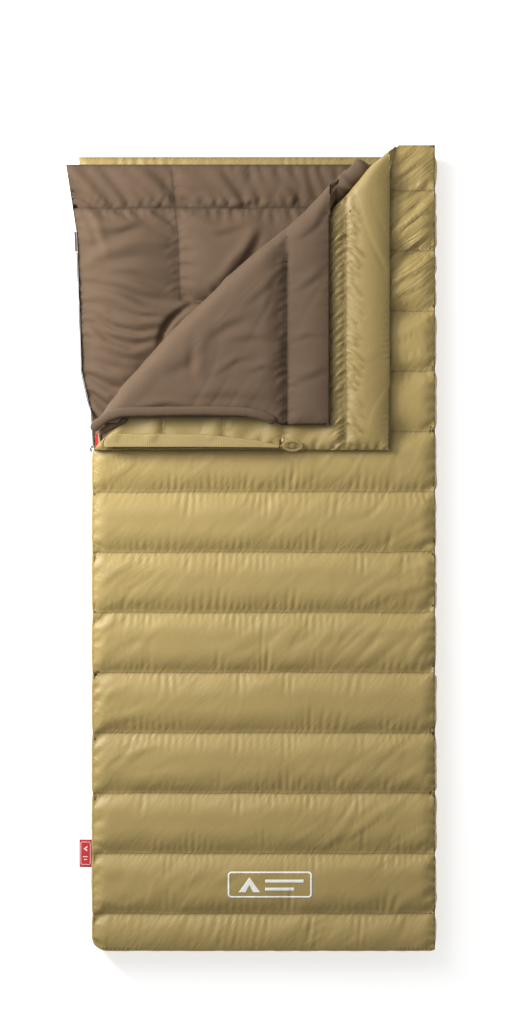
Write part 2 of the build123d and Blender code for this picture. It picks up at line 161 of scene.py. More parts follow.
# ---- quilted panels ----
def away(across, along, lines):
    """Distance to the nearest of some straight seams. A seam is its place, or its place, start and end."""
    nearest = np.full_like(across, 1.0)
    for line in lines:
        place, start, end = line if isinstance(line, tuple) else (line, -9.0, 9.0)
        beyond = np.maximum(0, np.maximum(start - along, along - end))
        nearest = np.minimum(nearest, np.hypot(across - place, beyond))
    return nearest


def snap(lines, values):
    """Seams moved onto the nearest grid line."""
    found = []
    for line in lines:
        place, start, end = line if isinstance(line, tuple) else (line, -9.0, 9.0)
        found.append((values[np.argmin(abs(values - place))], start, end))
    return found


def panel(x, y, seams_y=(), seams_x=(), base=0.0, edge=0.0, sides="lrfh", crest=0.018, fullness=0.05, reach=0.02,
          push=2.0e-5, skew=0.0, seed=1, steps=90, ceiling=None, floor=None, face=1, warp=None, rim=0.012,
          fine=0.0085, gather=0.0014, bend=0.008):
    """A quilted face over the rectangle of x and y: sewn down on its seams, blown out between them.

    base is the seams' height and edge the borders'. sides says which borders are sewn: left, right, foot, head.
    face is 1 for a face that looks up and -1 for one that looks down. warp moves the plan before it is sewn."""
    nx, ny = len(x), len(y)
    h, k = x[1] - x[0], y[1] - y[0]
    X, Y = np.meshgrid(x, y)
    seams_y, seams_x = snap(seams_y, y), snap(seams_x, x)
    borders_y = [y[i] for i, c in ((0, "f"), (-1, "h")) if c in sides]
    borders_x = [x[i] for i, c in ((0, "l"), (-1, "r")) if c in sides]
    d_row = away(Y, X, seams_y + borders_y)
    d_col = away(X, Y, seams_x + borders_x)
    to_border = np.minimum(away(Y, X, borders_y), away(X, Y, borders_x))
    free = ((d_row > k / 3) & (d_col > h / 3)).astype(float)
    patchy_u = np.clip(0.55 + 1.0 * noise_at(X / 0.08, Y / 0.05, seed + 1), 0.0, 1.6)
    patchy_v = np.clip(0.55 + 1.0 * noise_at(X / 0.05, Y / 0.08, seed + 2), 0.0, 1.6)
    slack_u = crest_fullness(crest, seams_x, x) + fullness * np.exp(-d_row / reach) * patchy_u
    slack_v = crest_fullness(crest, seams_y, y) + fullness * np.exp(-d_col / reach) * patchy_v
    PX, PY = (X, Y) if warp is None else warp(X, Y)
    rest_u = np.hypot(np.diff(PX, axis=1), np.diff(PY, axis=1)) * (1 + slack_u)[:, :-1]
    rest_v = np.hypot(np.diff(PX, axis=0), np.diff(PY, axis=0)) * (1 + slack_v)[:-1]
    swell = np.clip(np.minimum(d_row, d_col) / 0.05, 0, 1)
    lean_x, lean_y = X - 0.8 * Y, Y - 0.8 * X
    ripple = noise_at(lean_x / fine, Y / 0.07, seed + 3) * np.exp(-d_row / 0.025)
    ripple += noise_at(X / 0.07, lean_y / fine, seed + 4) * np.exp(-d_col / 0.025)
    Z = base + (edge - base) * np.exp(-to_border / rim)
    Z = Z + face * (crest * np.sin(swell * math.pi / 2) + gather * ripple) * free
    P = np.dstack([PX, PY, Z])
    inner = to_border > h
    P[..., 1] += ((d_row < k / 3) & inner) * 0.0015 * noise_at(X / 0.06, Y / 0.06, seed + 5)
    P[..., 0] += ((d_col < h / 3) & inner) * 0.0015 * noise_at(X / 0.06, Y / 0.06, seed + 6)
    lean = skew * (0.6 + 0.9 * noise_at(X / 0.2, Y / 0.2, seed + 7))[:-1, :-1]
    if steps:
        blow = push * (1 + 0.35 * noise_at(X / 0.11, Y / 0.11, seed + 8))
        turn = np.array([1, 1, face])
        limits = {"ceiling": ceiling, "floor": floor}
        if face < 0:
            limits = {"ceiling": None if floor is None else -floor, "floor": None if ceiling is None else -ceiling}
        P = relax(P * turn, rest_u, rest_v, free, blow, steps, skew=lean, bend=bend, **limits) * turn
    return {"P": P.astype(float), "u": X, "v": Y, "row": d_row, "col": d_col}


def drag(grid, angle, spacing, length, height, seed, strength=1.0, clear=0.02):
    """Drag wrinkles: long soft ridges with sharp valleys that run along a direction in the plan, up from each seam."""
    X, Y = grid["u"], grid["v"]
    turn = math.radians(angle) + 0.25 * noise_at(X / 0.3, Y / 0.3, seed + 1)
    along = X * np.cos(turn) + Y * np.sin(turn)
    across = -X * np.sin(turn) + Y * np.cos(turn)
    n = noise_at(along / length, across / spacing, seed)
    valley = np.clip(1 - np.abs(n) / 0.4, 0, 1) ** 2
    patch = np.clip(0.55 + 0.9 * noise_at(X / 0.16, Y / 0.12, seed + 2), 0, 1.3)
    fade = np.clip(np.minimum(grid["row"], grid["col"]) / clear, 0, 1)
    grid["P"][..., 2] += height * (0.5 * n - 0.8 * valley) * patch * fade * strength
    return grid


def pucker(grid, which, pitch, height, reach, seed, fold=0.8):
    """Small puckers along the seams that run one way, slanting back from them on both sides like chevrons."""
    d = grid[which]
    line = grid["u"] if which == "row" else grid["v"]
    other = grid["v"] if which == "row" else grid["u"]
    phase = (line + fold * d) / pitch + 1.1 * noise_at(line / 0.035, other / 0.3, seed)
    patch = np.clip(0.7 + 0.9 * noise_at(line / 0.06, other / 0.1, seed + 1), 0.1, 1.5)
    depth = (0.5 + 0.5 * np.sin(2 * math.pi * phase)) * np.exp(-d / reach) * np.clip(d / 0.003, 0, 1)
    grid["P"][..., 2] -= height * depth * patch
    return grid


UNSEAMED_SLACK = 0.004


def crest_fullness(crest, seams, values):
    """Extra length that lets a channel rise to its crest over the mean distance between its seams."""
    if not seams:
        return UNSEAMED_SLACK
    pitch = abs(seams[1][0] - seams[0][0]) if len(seams) > 1 else values[-1] - values[0]
    return 8 / 3 * (crest / pitch) ** 2


def grid_steps(low, high, step):
    return np.linspace(low, high, int(round((high - low) / step)) + 1)


def plain_grid(P, u, v):
    """A grid of unquilted cloth, far from any seam."""
    far = np.full_like(u, 1.0)
    return {"P": P, "u": u, "v": v, "row": far, "col": far}


def arc_length(points):
    """How far along a line of points each of them is."""
    gaps = np.sqrt((np.diff(points, axis=0) ** 2).sum(1))
    return np.concatenate([[0], np.cumsum(gaps)])


def at_lengths(places, length, points):
    """Places along a line of points, by their distance from its start."""
    return np.stack([np.interp(places, length, points[:, i]) for i in range(points.shape[1])], -1)


def unit_rows(vectors):
    return vectors / np.sqrt((vectors ** 2).sum(1))[:, None]


def smooth_line(points, rounds):
    """Rounds off a line of points, with its ends kept."""
    for _ in range(rounds):
        points[1:-1] = (points[:-2] + 2 * points[1:-1] + points[2:]) / 4
    return points


def middle_of(node):
    """The centre of a CAD node's box."""
    low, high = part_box(node)
    return [(a + b) / 2 for a, b in zip(low, high)]


def height_at(grid, x, y):
    """Height of a grid's surface at places in its plan, by the cell that each falls in."""
    xs, ys = grid["u"][0], grid["v"][:, 0]
    i = np.clip((x - xs[0]) / (xs[1] - xs[0]), 0, len(xs) - 1.001)
    j = np.clip((y - ys[0]) / (ys[1] - ys[0]), 0, len(ys) - 1.001)
    i0, j0 = i.astype(int), j.astype(int)
    fi, fj = i - i0, j - j0
    Z = grid["P"][..., 2]
    low = Z[j0, i0] * (1 - fi) + Z[j0, i0 + 1] * fi
    high = Z[j0 + 1, i0] * (1 - fi) + Z[j0 + 1, i0 + 1] * fi
    return low * (1 - fj) + high * fj


def cut_mesh(mesh, cuts):
    """Cuts away what lies on the normal's side of each (point, normal) plane."""
    bm = bmesh.new()
    bm.from_mesh(mesh)
    for point, normal in cuts:
        geometry = bm.verts[:] + bm.edges[:] + bm.faces[:]
        bmesh.ops.bisect_plane(bm, geom=geometry, plane_co=point, plane_no=normal, clear_outer=True)
    bm.to_mesh(mesh)
    bm.free()


def grid_mesh(name, grid, flip=False, index=0):
    """A mesh from one grid, with panel coordinates, seam distances and fine creasing kept on its points."""
    ny, nx = grid["P"].shape[:2]
    number = np.arange(ny * nx).reshape(ny, nx)
    quads = np.stack([number[:-1, :-1], number[:-1, 1:], number[1:, 1:], number[1:, :-1]], -1).reshape(-1, 4)
    mesh = bpy.data.meshes.new(name)
    mesh.from_pydata(grid["P"].reshape(-1, 3).tolist(), [], (quads[:, ::-1] if flip else quads).tolist())
    tight = grid.get("tight", np.zeros((ny, nx)))
    for label, parts in (("panel", (grid["u"], grid["v"], 0 * tight)), ("seam", (grid["row"], grid["col"], tight))):
        layer = mesh.attributes.new(label, "FLOAT_VECTOR", "POINT")
        values = np.stack(parts, -1)
        layer.data.foreach_set("vector", values.astype(np.float32).ravel())
    mesh.polygons.foreach_set("material_index", np.full(len(quads), index, np.int32))
    return mesh


def new_object(name, mesh, *materials):
    obj = bpy.data.objects.new(name, mesh)
    bpy.context.scene.collection.objects.link(obj)
    for material in materials:
        mesh.materials.append(material)
    mesh.shade_smooth()
    return obj


def cloth(name, faces, *materials, weld=0.0004):
    """One object from faces that join where their borders meet: grids, or (grid, material index, flip, cuts)."""
    bm = bmesh.new()
    for face in faces:
        grid, index, flip, cuts = face if isinstance(face, tuple) else (face, 0, False, [])
        mesh = grid_mesh(name, grid, flip, index)
        cut_mesh(mesh, cuts)
        bm.from_mesh(mesh)
        bpy.data.meshes.remove(mesh)
    bmesh.ops.remove_doubles(bm, verts=bm.verts[:], dist=weld)
    mesh = bpy.data.meshes.new(name)
    bm.to_mesh(mesh)
    bm.free()
    return new_object(name, mesh, *materials)


def tie(obj, body, slot_name, *nodes, fill=None):
    """Makes a piece ride on a body in place of CAD nodes, which it hides. Its material slot name is not used."""
    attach(obj, body)
    if nodes:
        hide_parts(*nodes)
    return obj


def layers(quilt):
    """The CAD nodes of a quilt's three layers."""
    return [f"{quilt}_{layer}" for layer in ("shell", "fill", "lining")]


def wrinkles(grid, strokes, gain=1.0):
    """Raises soft curved folds on a grid, each a list of (x, y) points with its width and height.

    A fold is a ridge with a valley on its right-hand side. One with a height below 0 is a valley alone."""
    P = grid["P"]
    X, Y = P[..., 0], P[..., 1]
    for points, width, height in strokes:
        points = np.array(points, float)
        at = np.linspace(0, len(points) - 1, 40)
        curve = np.column_stack([np.interp(at, range(len(points)), points[:, i]) for i in (0, 1)])
        curve = smooth_line(curve, 8)
        near = np.full(X.shape, 9.0)
        side, t = np.zeros(X.shape), np.zeros(X.shape)
        for k, ((cx, cy), (ax, ay)) in enumerate(zip(curve, unit_rows(np.gradient(curve, axis=0)))):
            d = np.hypot(X - cx, Y - cy)
            closer = d < near
            near = np.where(closer, d, near)
            side = np.where(closer, np.sign(ax * (Y - cy) - ay * (X - cx)) * d, side)
            t = np.where(closer, k / 39, t)
        taper = np.sin(np.clip(t, 0.02, 0.98) * math.pi) ** 0.6
        ridge = np.exp(-((side / width) ** 2))
        if height > 0:
            ridge = ridge - 0.8 * np.exp(-(((side + 1.25 * width) / (0.7 * width)) ** 2))
        P[..., 2] += gain * height * taper * ridge
    return grid


def millimetres(strokes):
    """Strokes given in millimetres, in metres."""
    return [(np.array(points, float) / 1000, width / 1000, height / 1000) for points, width, height in strokes]


def chevrons(grid, at, ends, runs, pitch, length, width, height, seed, slant=0.6):
    """Folds that leave a seam on both sides like the branches of a tree. runs is the axis that the seam runs along."""
    rng = np.random.default_rng(seed)
    strokes = []
    for place in np.arange(ends[0], ends[1], pitch):
        for side in (-1, 1):
            start = place + pitch * rng.uniform(-0.4, 0.4)
            reach = length * rng.uniform(0.5, 1.3)
            points = [(at + side * reach * t, start - slant * reach * t ** 1.3) for t in (0.05, 0.4, 0.75, 1.0)]
            if runs == "x":
                points = [(b, a) for a, b in points]
            strokes.append((points, width * rng.uniform(0.7, 1.3), height * rng.uniform(0.3, 1.3)))
    return wrinkles(grid, strokes)


# ---- materials ----
FULL_TURN = 6.28


class Nodes:
    """Short calls for building a material's node tree."""

    def __init__(self, name):
        self.material = bpy.data.materials.new(name)
        self.material.use_nodes = True
        self.tree = self.material.node_tree
        self.shader = self.tree.nodes["Principled BSDF"]

    def add(self, kind, **settings):
        node = self.tree.nodes.new("ShaderNode" + kind)
        for key, value in settings.items():
            if key.startswith("in_"):
                node.inputs[key[3:].replace("_", " ")].default_value = value
            else:
                setattr(node, key, value)
        return node

    def link(self, a, b):
        self.tree.links.new(a, b)

    def surface(self, **values):
        """Sets the shader's inputs, to a constant or to what another node gives."""
        for key, value in values.items():
            socket = self.shader.inputs[key.replace("_", " ")]
            if isinstance(value, bpy.types.NodeSocket):
                self.link(value, socket)
            else:
                socket.default_value = value

    def bands(self, vector, direction, pitch, **settings):
        """Stripes of about this pitch across a direction."""
        scale = 1 / pitch / FULL_TURN
        node = self.add("TexWave", wave_type="BANDS", bands_direction=direction, in_Scale=scale, **settings)
        self.link(vector, node.inputs["Vector"])
        return node.outputs["Fac"]

    def weave(self, vector, pitch):
        """Warp and weft threads, whichever is on top."""
        return self.math("MAXIMUM", self.bands(vector, "X", pitch), self.bands(vector, "Y", pitch))

    def fade(self, distance, rate):
        """Falls away from 1 as a distance grows."""
        return self.math("POWER", 2.718, self.math("MULTIPLY", distance, -rate))

    def math(self, operation, a, b=0.5, c=0.0):
        node = self.add("Math", operation=operation)
        for socket, value in zip(node.inputs, (a, b, c)):
            if isinstance(value, (int, float)):
                socket.default_value = value
            else:
                self.link(value, socket)
        return node.outputs[0]

    def noise(self, vector, scale, detail=2.0, roughness=0.5):
        node = self.add("TexNoise", in_Scale=scale, in_Detail=detail, in_Roughness=roughness)
        self.link(vector, node.inputs["Vector"])
        return node.outputs["Fac"]

    def stretch(self, vector, scale, turn=0.0):
        """Scales a vector along axes that are turned by so many degrees."""
        node = self.add("Mapping", vector_type="TEXTURE")
        node.inputs["Scale"].default_value = [1 / one for one in scale]
        node.inputs["Rotation"].default_value = (0, 0, math.radians(turn))
        self.link(vector, node.inputs["Vector"])
        return node.outputs["Vector"]

    def attribute(self, name):
        return self.add("Attribute", attribute_name=name).outputs["Vector"]

    def mix(self, factor, a, b, blend="MIX"):
        node = self.add("Mix", data_type="RGBA", blend_type=blend)
        for key, value in (("Factor", factor), ("A", a), ("B", b)):
            socket = [x for x in node.inputs if x.name == key and x.enabled][0]
            if isinstance(value, (int, float)) or isinstance(value, tuple):
                socket.default_value = value
            else:
                self.link(value, socket)
        return [x for x in node.outputs if x.enabled][0]

    def bump(self, height, distance, strength=1.0):
        node = self.add("Bump", in_Strength=strength, in_Distance=distance)
        self.link(height, node.inputs["Height"])
        self.link(node.outputs["Normal"], self.shader.inputs["Normal"])


def rgb(red, green, blue):
    """Linear colour from the usual 0-255 numbers."""
    def linear(c):
        c /= 255
        return c / 12.92 if c <= 0.04045 else ((c + 0.055) / 1.055) ** 2.4
    return linear(red), linear(green), linear(blue), 1.0


def quilt_cloth(name, colour, dark, weave=0.0012, rough=0.45, sheen=0.25, puckers=0.0012, fuzz=0.0, painted_shade_strength=0.7,
                painted_shade_falloff=400.0):
    """Woven cloth on a quilt: fine weave, fine gathers that fade away from each seam, uneven colour, and painted shade
    that darkens the colour along each seam.
    """
    n = Nodes(name)
    panel_at, seam_at = n.attribute("panel"), n.attribute("seam")
    split = n.add("SeparateXYZ")
    n.link(seam_at, split.inputs[0])
    row, col = split.outputs[0], split.outputs[1]
    near_row, near_col = n.fade(row, 34.0), n.fade(col, 34.0)
    gather_row = n.noise(n.stretch(panel_at, (120, 24, 1), -32), 1.0, 3.0, 0.55)
    gather_col = n.noise(n.stretch(panel_at, (24, 120, 1), -28), 1.0, 3.0, 0.55)
    dragged = n.noise(n.stretch(panel_at, (8, 62, 1), 38), 1.0, 2.0, 0.45)
    valley = n.math("SUBTRACT", 1.0, n.math("MULTIPLY", n.math("ABSOLUTE", n.math("SUBTRACT", dragged, 0.5)), 9.0))
    valley = n.math("POWER", n.math("MAXIMUM", valley, 0.0), 1.5)
    creases = n.math("SUBTRACT", n.math("MULTIPLY", dragged, 2.5), n.math("MULTIPLY", valley, 1.1))
    gathers = n.math("ADD", n.math("MULTIPLY", gather_row, near_row), n.math("MULTIPLY", gather_col, near_col))
    threads = n.weave(panel_at, weave)
    slub = n.noise(n.stretch(panel_at, (400, 60, 1)), 1.0, 2.0)
    soft = n.noise(panel_at, 9.0, 3.0)
    crumple = n.noise(n.stretch(panel_at, (34, 22, 1)), 1.0, 4.0, 0.6)
    tone = n.math("MULTIPLY_ADD", soft, 0.35, n.math("MULTIPLY_ADD", slub, 0.18, n.math("MULTIPLY", threads, 0.12)))
    base = n.mix(n.math("SUBTRACT", tone, 0.1), dark, colour)
    # Painted shade: near each seam the colour darkens towards a deeper tone of the cloth, standing in for the shadow in
    # its folds; noise makes the edge of this shade ragged.
    nearest = n.math("MINIMUM", row, col)
    ragged = n.math("MULTIPLY_ADD", n.noise(panel_at, 90.0, 2.0), 1.4, 0.3)
    painted_shade_mix = n.fade(n.math("MULTIPLY", nearest, ragged), painted_shade_falloff)
    painted_shade_mix = n.math("MULTIPLY", painted_shade_mix, painted_shade_strength)
    base = n.mix(painted_shade_mix, base, tuple(0.55 * c for c in dark[:3]) + (1.0,))
    n.surface(Base_Color=base, Roughness=n.math("MULTIPLY_ADD", soft, 0.18, rough - 0.09), Sheen_Weight=sheen,
              Sheen_Roughness=0.4, Sheen_Tint=colour, Specular_IOR_Level=0.35)
    height = n.math("MULTIPLY", gathers, puckers * 2000)
    height = n.math("MULTIPLY_ADD", threads, 0.05, height)
    height = n.math("MULTIPLY_ADD", crumple, 0.35, height)
    height = n.math("ADD", n.math("MULTIPLY", creases, split.outputs[2]), height)
    if fuzz:
        height = n.math("MULTIPLY_ADD", n.noise(panel_at, 1800.0, 2.0), fuzz, height)
    n.bump(height, 0.001)
    return n.material


KHAKI = quilt_cloth("khaki_cloth", rgb(184, 161, 103), rgb(156, 135, 82), rough=0.42, sheen=0.2)
KHAKI_INSIDE = quilt_cloth("khaki_inside_cloth", rgb(170, 149, 95), rgb(144, 124, 75), rough=0.46, sheen=0.2,
                           painted_shade_strength=0.85, painted_shade_falloff=210.0)
BROWN = quilt_cloth("brown_cloth", rgb(105, 85, 65), rgb(88, 70, 53), weave=0.0009, rough=0.85, sheen=0.25,
                    puckers=0.0009, fuzz=0.12, painted_shade_strength=0.95, painted_shade_falloff=210.0)


# ---- creases ----
def crease_cut(c, back=0.0):
    """The upright plane along y = x + c, moved back towards the foot and right. Keeps what lies on that side."""
    normal = Vector((-1, 1, 0)).normalized()
    return Vector((0, c, 0)) - normal * back, normal


def folded(grid, corner):
    """A grid of the closed corner, turned over so that its closed corner lies at the given place."""
    P = grid["P"]
    closed_left, closed_head = P[0, 0, 0], P[-1, 0, 1]
    x = P[..., 1] - closed_head + corner[0]
    y = P[..., 0] - closed_left + corner[1]
    return dict(grid, P=np.dstack([x, y, 2 * HINGE_Z - P[..., 2]]))


def roll(name, grid, c, back, foot_z, bulge, ends, near, right, material, seed):
    """The lining where it rolls over a crease, from the folded corner's face round to the underside below it.

    bulge gives how far it stands out past the crease, by the share of the way from the zip end to the head end. Its
    upper half stops at the folded corner's near and right edges."""
    count, turns = 141, 13
    share = np.linspace(0, 1, count)
    x = ends[0] + (ends[1] - ends[0]) * share
    out = np.interp(share, *zip(*bulge))
    reach = out * np.sqrt(np.clip(1 - np.clip((share - 0.94) / 0.06, 0, 1) ** 2, 0.25, 1)) + back
    sweep = np.linspace(0, math.pi, 2 * turns - 1)
    rows = []
    for number, angle in enumerate(sweep):
        s = min(1.0, math.sin(angle))
        stand = reach * s - back
        across = number / len(sweep)
        crumple = noise_at(share * 30 + across, across * 4 + 0 * share, seed) * 0.0018
        crumple = crumple + noise_at(share * 9, across * 3 + 0 * share, seed + 1) * 0.003
        stand = stand + crumple * s ** 1.5
        at_x, at_y = x - stand / math.sqrt(2), x + c + stand / math.sqrt(2)
        if angle < math.pi / 2:
            at_x = np.minimum(at_x, right)
            at_y = np.minimum(at_y, right + c + math.sqrt(2) * stand)
            at_y = np.maximum(at_y, near)
            at_x = np.maximum(at_x, near - c - math.sqrt(2) * stand)
        top = height_at(grid, at_x, at_y)
        drop = (1 - math.sqrt(1 - s ** 4)) * (top - foot_z) / 2
        z = top - drop if angle <= math.pi / 2 else foot_z + drop
        rows.append(np.column_stack([at_x, at_y, z]))
    caps = [np.repeat([[[end, end + c, foot_z + 0.011]]], len(rows), 0) for end in ends]
    P = np.concatenate([caps[0], np.array(rows), caps[1]], 1)
    U, V = np.meshgrid(np.concatenate([[0], share, [1]]) * (ends[1] - ends[0]) * math.sqrt(2), sweep * 0.03)
    return cloth(name, [plain_grid(P, U, V)], material)


FOOT_RADIUS = 0.035
INNER_RADIUS = 0.020


def rounded(left, foot, radius):
    """Rounds off the plan's foot corner on the zip side."""
    def bend(X, Y):
        u = np.clip((left + radius - X) / radius, 0, 1)
        v = np.clip((foot + radius - Y) / radius, 0, 1)
        both = (u > 0) & (v > 0)
        return (np.where(both, left + radius - radius * u * np.sqrt(1 - v * v / 2), X),
                np.where(both, foot + radius - radius * v * np.sqrt(1 - u * u / 2), Y))
    return bend


# ---- outer top quilt and its folded corner ----
STEP = 0.0036
flap_corner_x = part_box("outer_flap_shell")[1].x
LONG_STEP = 0.0075
BACK = 0.030
seam_lines = [HEAD - HEM - SEAM_PITCH * i for i in range(13)]
top_z = (top_low.z, top_high.z)
middle_z = sum(top_z) / 2
seam_z = top_z[0] + 0.005
outer_round = rounded(LEFT, FOOT, FOOT_RADIUS)
top_y = grid_steps(FOOT, HEAD, LONG_STEP)
shell_grid = panel(
    grid_steps(LEFT, RIGHT, STEP), top_y, seam_lines, base=seam_z, edge=middle_z - 0.002, crest=0.0165,
    fullness=0.036, push=1.8e-5, skew=0.012, seed=11, steps=100, ceiling=HINGE_Z - 0.0004, warp=outer_round,
)
strong = np.clip(shell_grid["u"] / 0.30 + 0.35, 0.35, 1.0)
strong = np.maximum(strong, np.clip(-(shell_grid["u"] + 0.18) / 0.18, 0, 0.8))
strong = strong * np.where((shell_grid["u"] > flap_corner_x - 0.02) & (shell_grid["v"] > 0.50), 1.6, 1.0)
drag(shell_grid, 36, 0.021, 0.15, 0.0036, 15, strength=strong)
drag(shell_grid, 50, 0.013, 0.07, 0.0011, 16, strength=0.8, clear=0.01)
pucker(shell_grid, "row", 0.0125, 0.0009, 0.012, 17)
strip_x = 1000 * flap_corner_x
wrinkles(shell_grid, millimetres([
    ([(strip_x - 20, 778), (352, 824), (386, 856), (420, 885)], 6.5, -7.5),
    ([(strip_x - 20, 846), (352, 876), (418, 910)], 6, 6),
    ([(strip_x - 10, 768), (378, 826), (422, 848)], 5.5, 6),
    ([(strip_x - 20, 672), (336, 708), (378, 742), (424, 776)], 7.5, -8),
    ([(strip_x - 20, 700), (361, 746), (420, 792)], 6, 6.2),
    ([(strip_x - 20, 640), (327, 662), (372, 684), (412, 712)], 6.5, 5.5),
    ([(strip_x - 10, 610), (345, 636), (392, 652)], 6, 4.5),
    ([(strip_x - 10, 905), (350, 935), (405, 975)], 6, 5.5),
    ([(strip_x - 10, 944), (340, 965), (372, 990)], 5, 4.5),
    ([(strip_x + 10, 790), (372, 846), (408, 868)], 4.5, 4),
]))
plan_x, plan_y = shell_grid["u"], shell_grid["v"]
pulled = np.clip((plan_x - flap_corner_x + 0.02) / 0.03, 0, 1) * np.clip((plan_y - 0.52) / 0.16, 0, 1)
calm = np.clip(0.5 + 0.9 * noise_at(plan_x / 0.15, plan_y / 0.09, 19), 0.05, 1.2)
shell_grid["tight"] = np.maximum(pulled * (0.5 + 0.5 * calm), 0.13 * calm)
under_flap = (plan_x < flap_corner_x + 0.004) & (plan_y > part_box("outer_flap_shell")[0].y - 0.006)
under_flap |= plan_y > plan_x + OUTER_C - 0.012
shell_roof = np.where(under_flap, HINGE_Z - 0.0002, HINGE_Z + 0.010)
shell_grid["P"][..., 2] = np.minimum(shell_grid["P"][..., 2], shell_roof)
under_grid = panel(
    grid_steps(LEFT, RIGHT, 0.0108), top_y, seam_lines, base=seam_z - 0.0006, edge=middle_z - 0.002,
    crest=0.006, steps=0, seed=12, face=-1, warp=outer_round,
)
outer_top = cloth(
    "outer_top_quilt",
    [(shell_grid, 0, False, [crease_cut(OUTER_C)]), (under_grid, 1, True, [crease_cut(OUTER_C, BACK)])],
    KHAKI, KHAKI_INSIDE,
)
tie(outer_top, "bag", "khaki_shell", *layers("outer_top"), fill=0.7)

flap_low, flap_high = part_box("outer_flap_shell")
corner = (flap_high.x, flap_low.y)
rows = shell_grid["v"][:, 0] > OUTER_C + LEFT
flap_shell = folded({k: v[rows] for k, v in shell_grid.items()}, corner)
flap_seams = [flap_high.x - HEM - SEAM_PITCH * i for i in range(5)]
flap_x = grid_steps(flap_low.x, flap_high.x, 0.0055)
flap_y = grid_steps(flap_low.y, flap_high.y, STEP)
under_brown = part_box("inner_flap_shell")
low_roof = np.where(flap_x > under_brown[1].x + 0.012, under_brown[0].z + 0.008, under_brown[0].z - 0.0008)
flap_lining = panel(
    flap_x, flap_y, (), flap_seams, base=2 * HINGE_Z - seam_z - 0.0010, edge=2 * HINGE_Z - middle_z + 0.002,
    crest=0.012, fullness=0.08, reach=0.010, push=1.8e-5, skew=0.006, seed=31, steps=90, sides="rf",
    ceiling=low_roof[None, :], bend=0.014,
)
drag(flap_lining, 68, 0.035, 0.12, 0.0022, 35)
pucker(flap_lining, "col", 0.0150, 0.0016, 0.012, 37)
chevrons(flap_lining, flap_seams[0], (0.262, 0.935), "y", 0.0125, 0.036, 0.0040, 0.0056, 38, slant=0.75)
flap_lining["P"][..., 2] = np.minimum(flap_lining["P"][..., 2], low_roof[None, :])
outer_flap = cloth(
    "outer_flap_quilt",
    [(flap_shell, 0, False, [crease_cut(OUTER_C)]), (flap_lining, 1, False, [crease_cut(OUTER_C, BACK)])],
    KHAKI, KHAKI_INSIDE,
)
tie(outer_flap, "outer_corner", "khaki_shell", *layers("outer_flap"), fill=0.7)
outer_roll = roll(
    "outer_crease_roll", flap_lining, OUTER_C, BACK, top_z[0] + 0.001,
    [(0, 0.001), (0.06, 0.004), (0.15, 0.010), (0.3, 0.012), (0.7, 0.012), (0.83, 0.003), (0.93, 0.010), (1, 0.012)],
    (LEFT + 0.002, HEAD - OUTER_C - 0.006), flap_low.y + 0.001, flap_high.x - 0.001, KHAKI_INSIDE, 41,
)
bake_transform(outer_roll)

# ---- inner top quilt and its folded corner ----
in_low, in_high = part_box("inner_top_shell")
in_middle = (in_low.z + in_high.z) / 2
in_hem = 0.109
HEM_TO_SEAM = 0.235
HIDDEN_SEAMS = [0.25, -0.05, -0.35, -0.65]
INNER_STEP = 0.006
inner_plan = grid_steps(in_low.x, in_high.x, 0.010), grid_steps(in_low.y, in_high.y, 0.010)
inner_seams = [in_high.y - in_hem, in_high.y - in_hem - HEM_TO_SEAM] + HIDDEN_SEAMS
inner_round = rounded(in_low.x, in_low.y, INNER_RADIUS)
inner_shell_grid = panel(
    *inner_plan, inner_seams, base=in_middle + 0.001, edge=in_middle, crest=0.0075, fullness=0.06, seed=51,
    steps=40, ceiling=in_high.z + 0.002, warp=inner_round,
)
inner_under_grid = panel(
    *inner_plan, inner_seams, base=in_middle, edge=in_middle, crest=0.008, seed=52, steps=0, face=-1,
    warp=inner_round,
)
inner_top = cloth(
    "inner_top_quilt",
    [(inner_shell_grid, 0, False, [crease_cut(INNER_C)]), (inner_under_grid, 0, True, [crease_cut(INNER_C, BACK)])],
    BROWN,
)
tie(inner_top, "bag", "brown_lining", *layers("inner_top"), fill=0.6)

fold_low, fold_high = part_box("inner_flap_shell")
inner_hem_x = fold_high.x - in_hem


def front_of(x):
    """The folded corner's near edge: pulled back along its draft tube, and full length at its hem."""
    return fold_low.y + np.interp(x, [fold_low.x, -0.38, -0.02, 0.045], [0.004, 0.019, 0.021, 0.0])


def draw_back(X, Y):
    fade = np.clip(1 - (Y - fold_low.y) / 0.12, 0, 1) ** 2
    return X, Y + (front_of(X) - fold_low.y) * fade


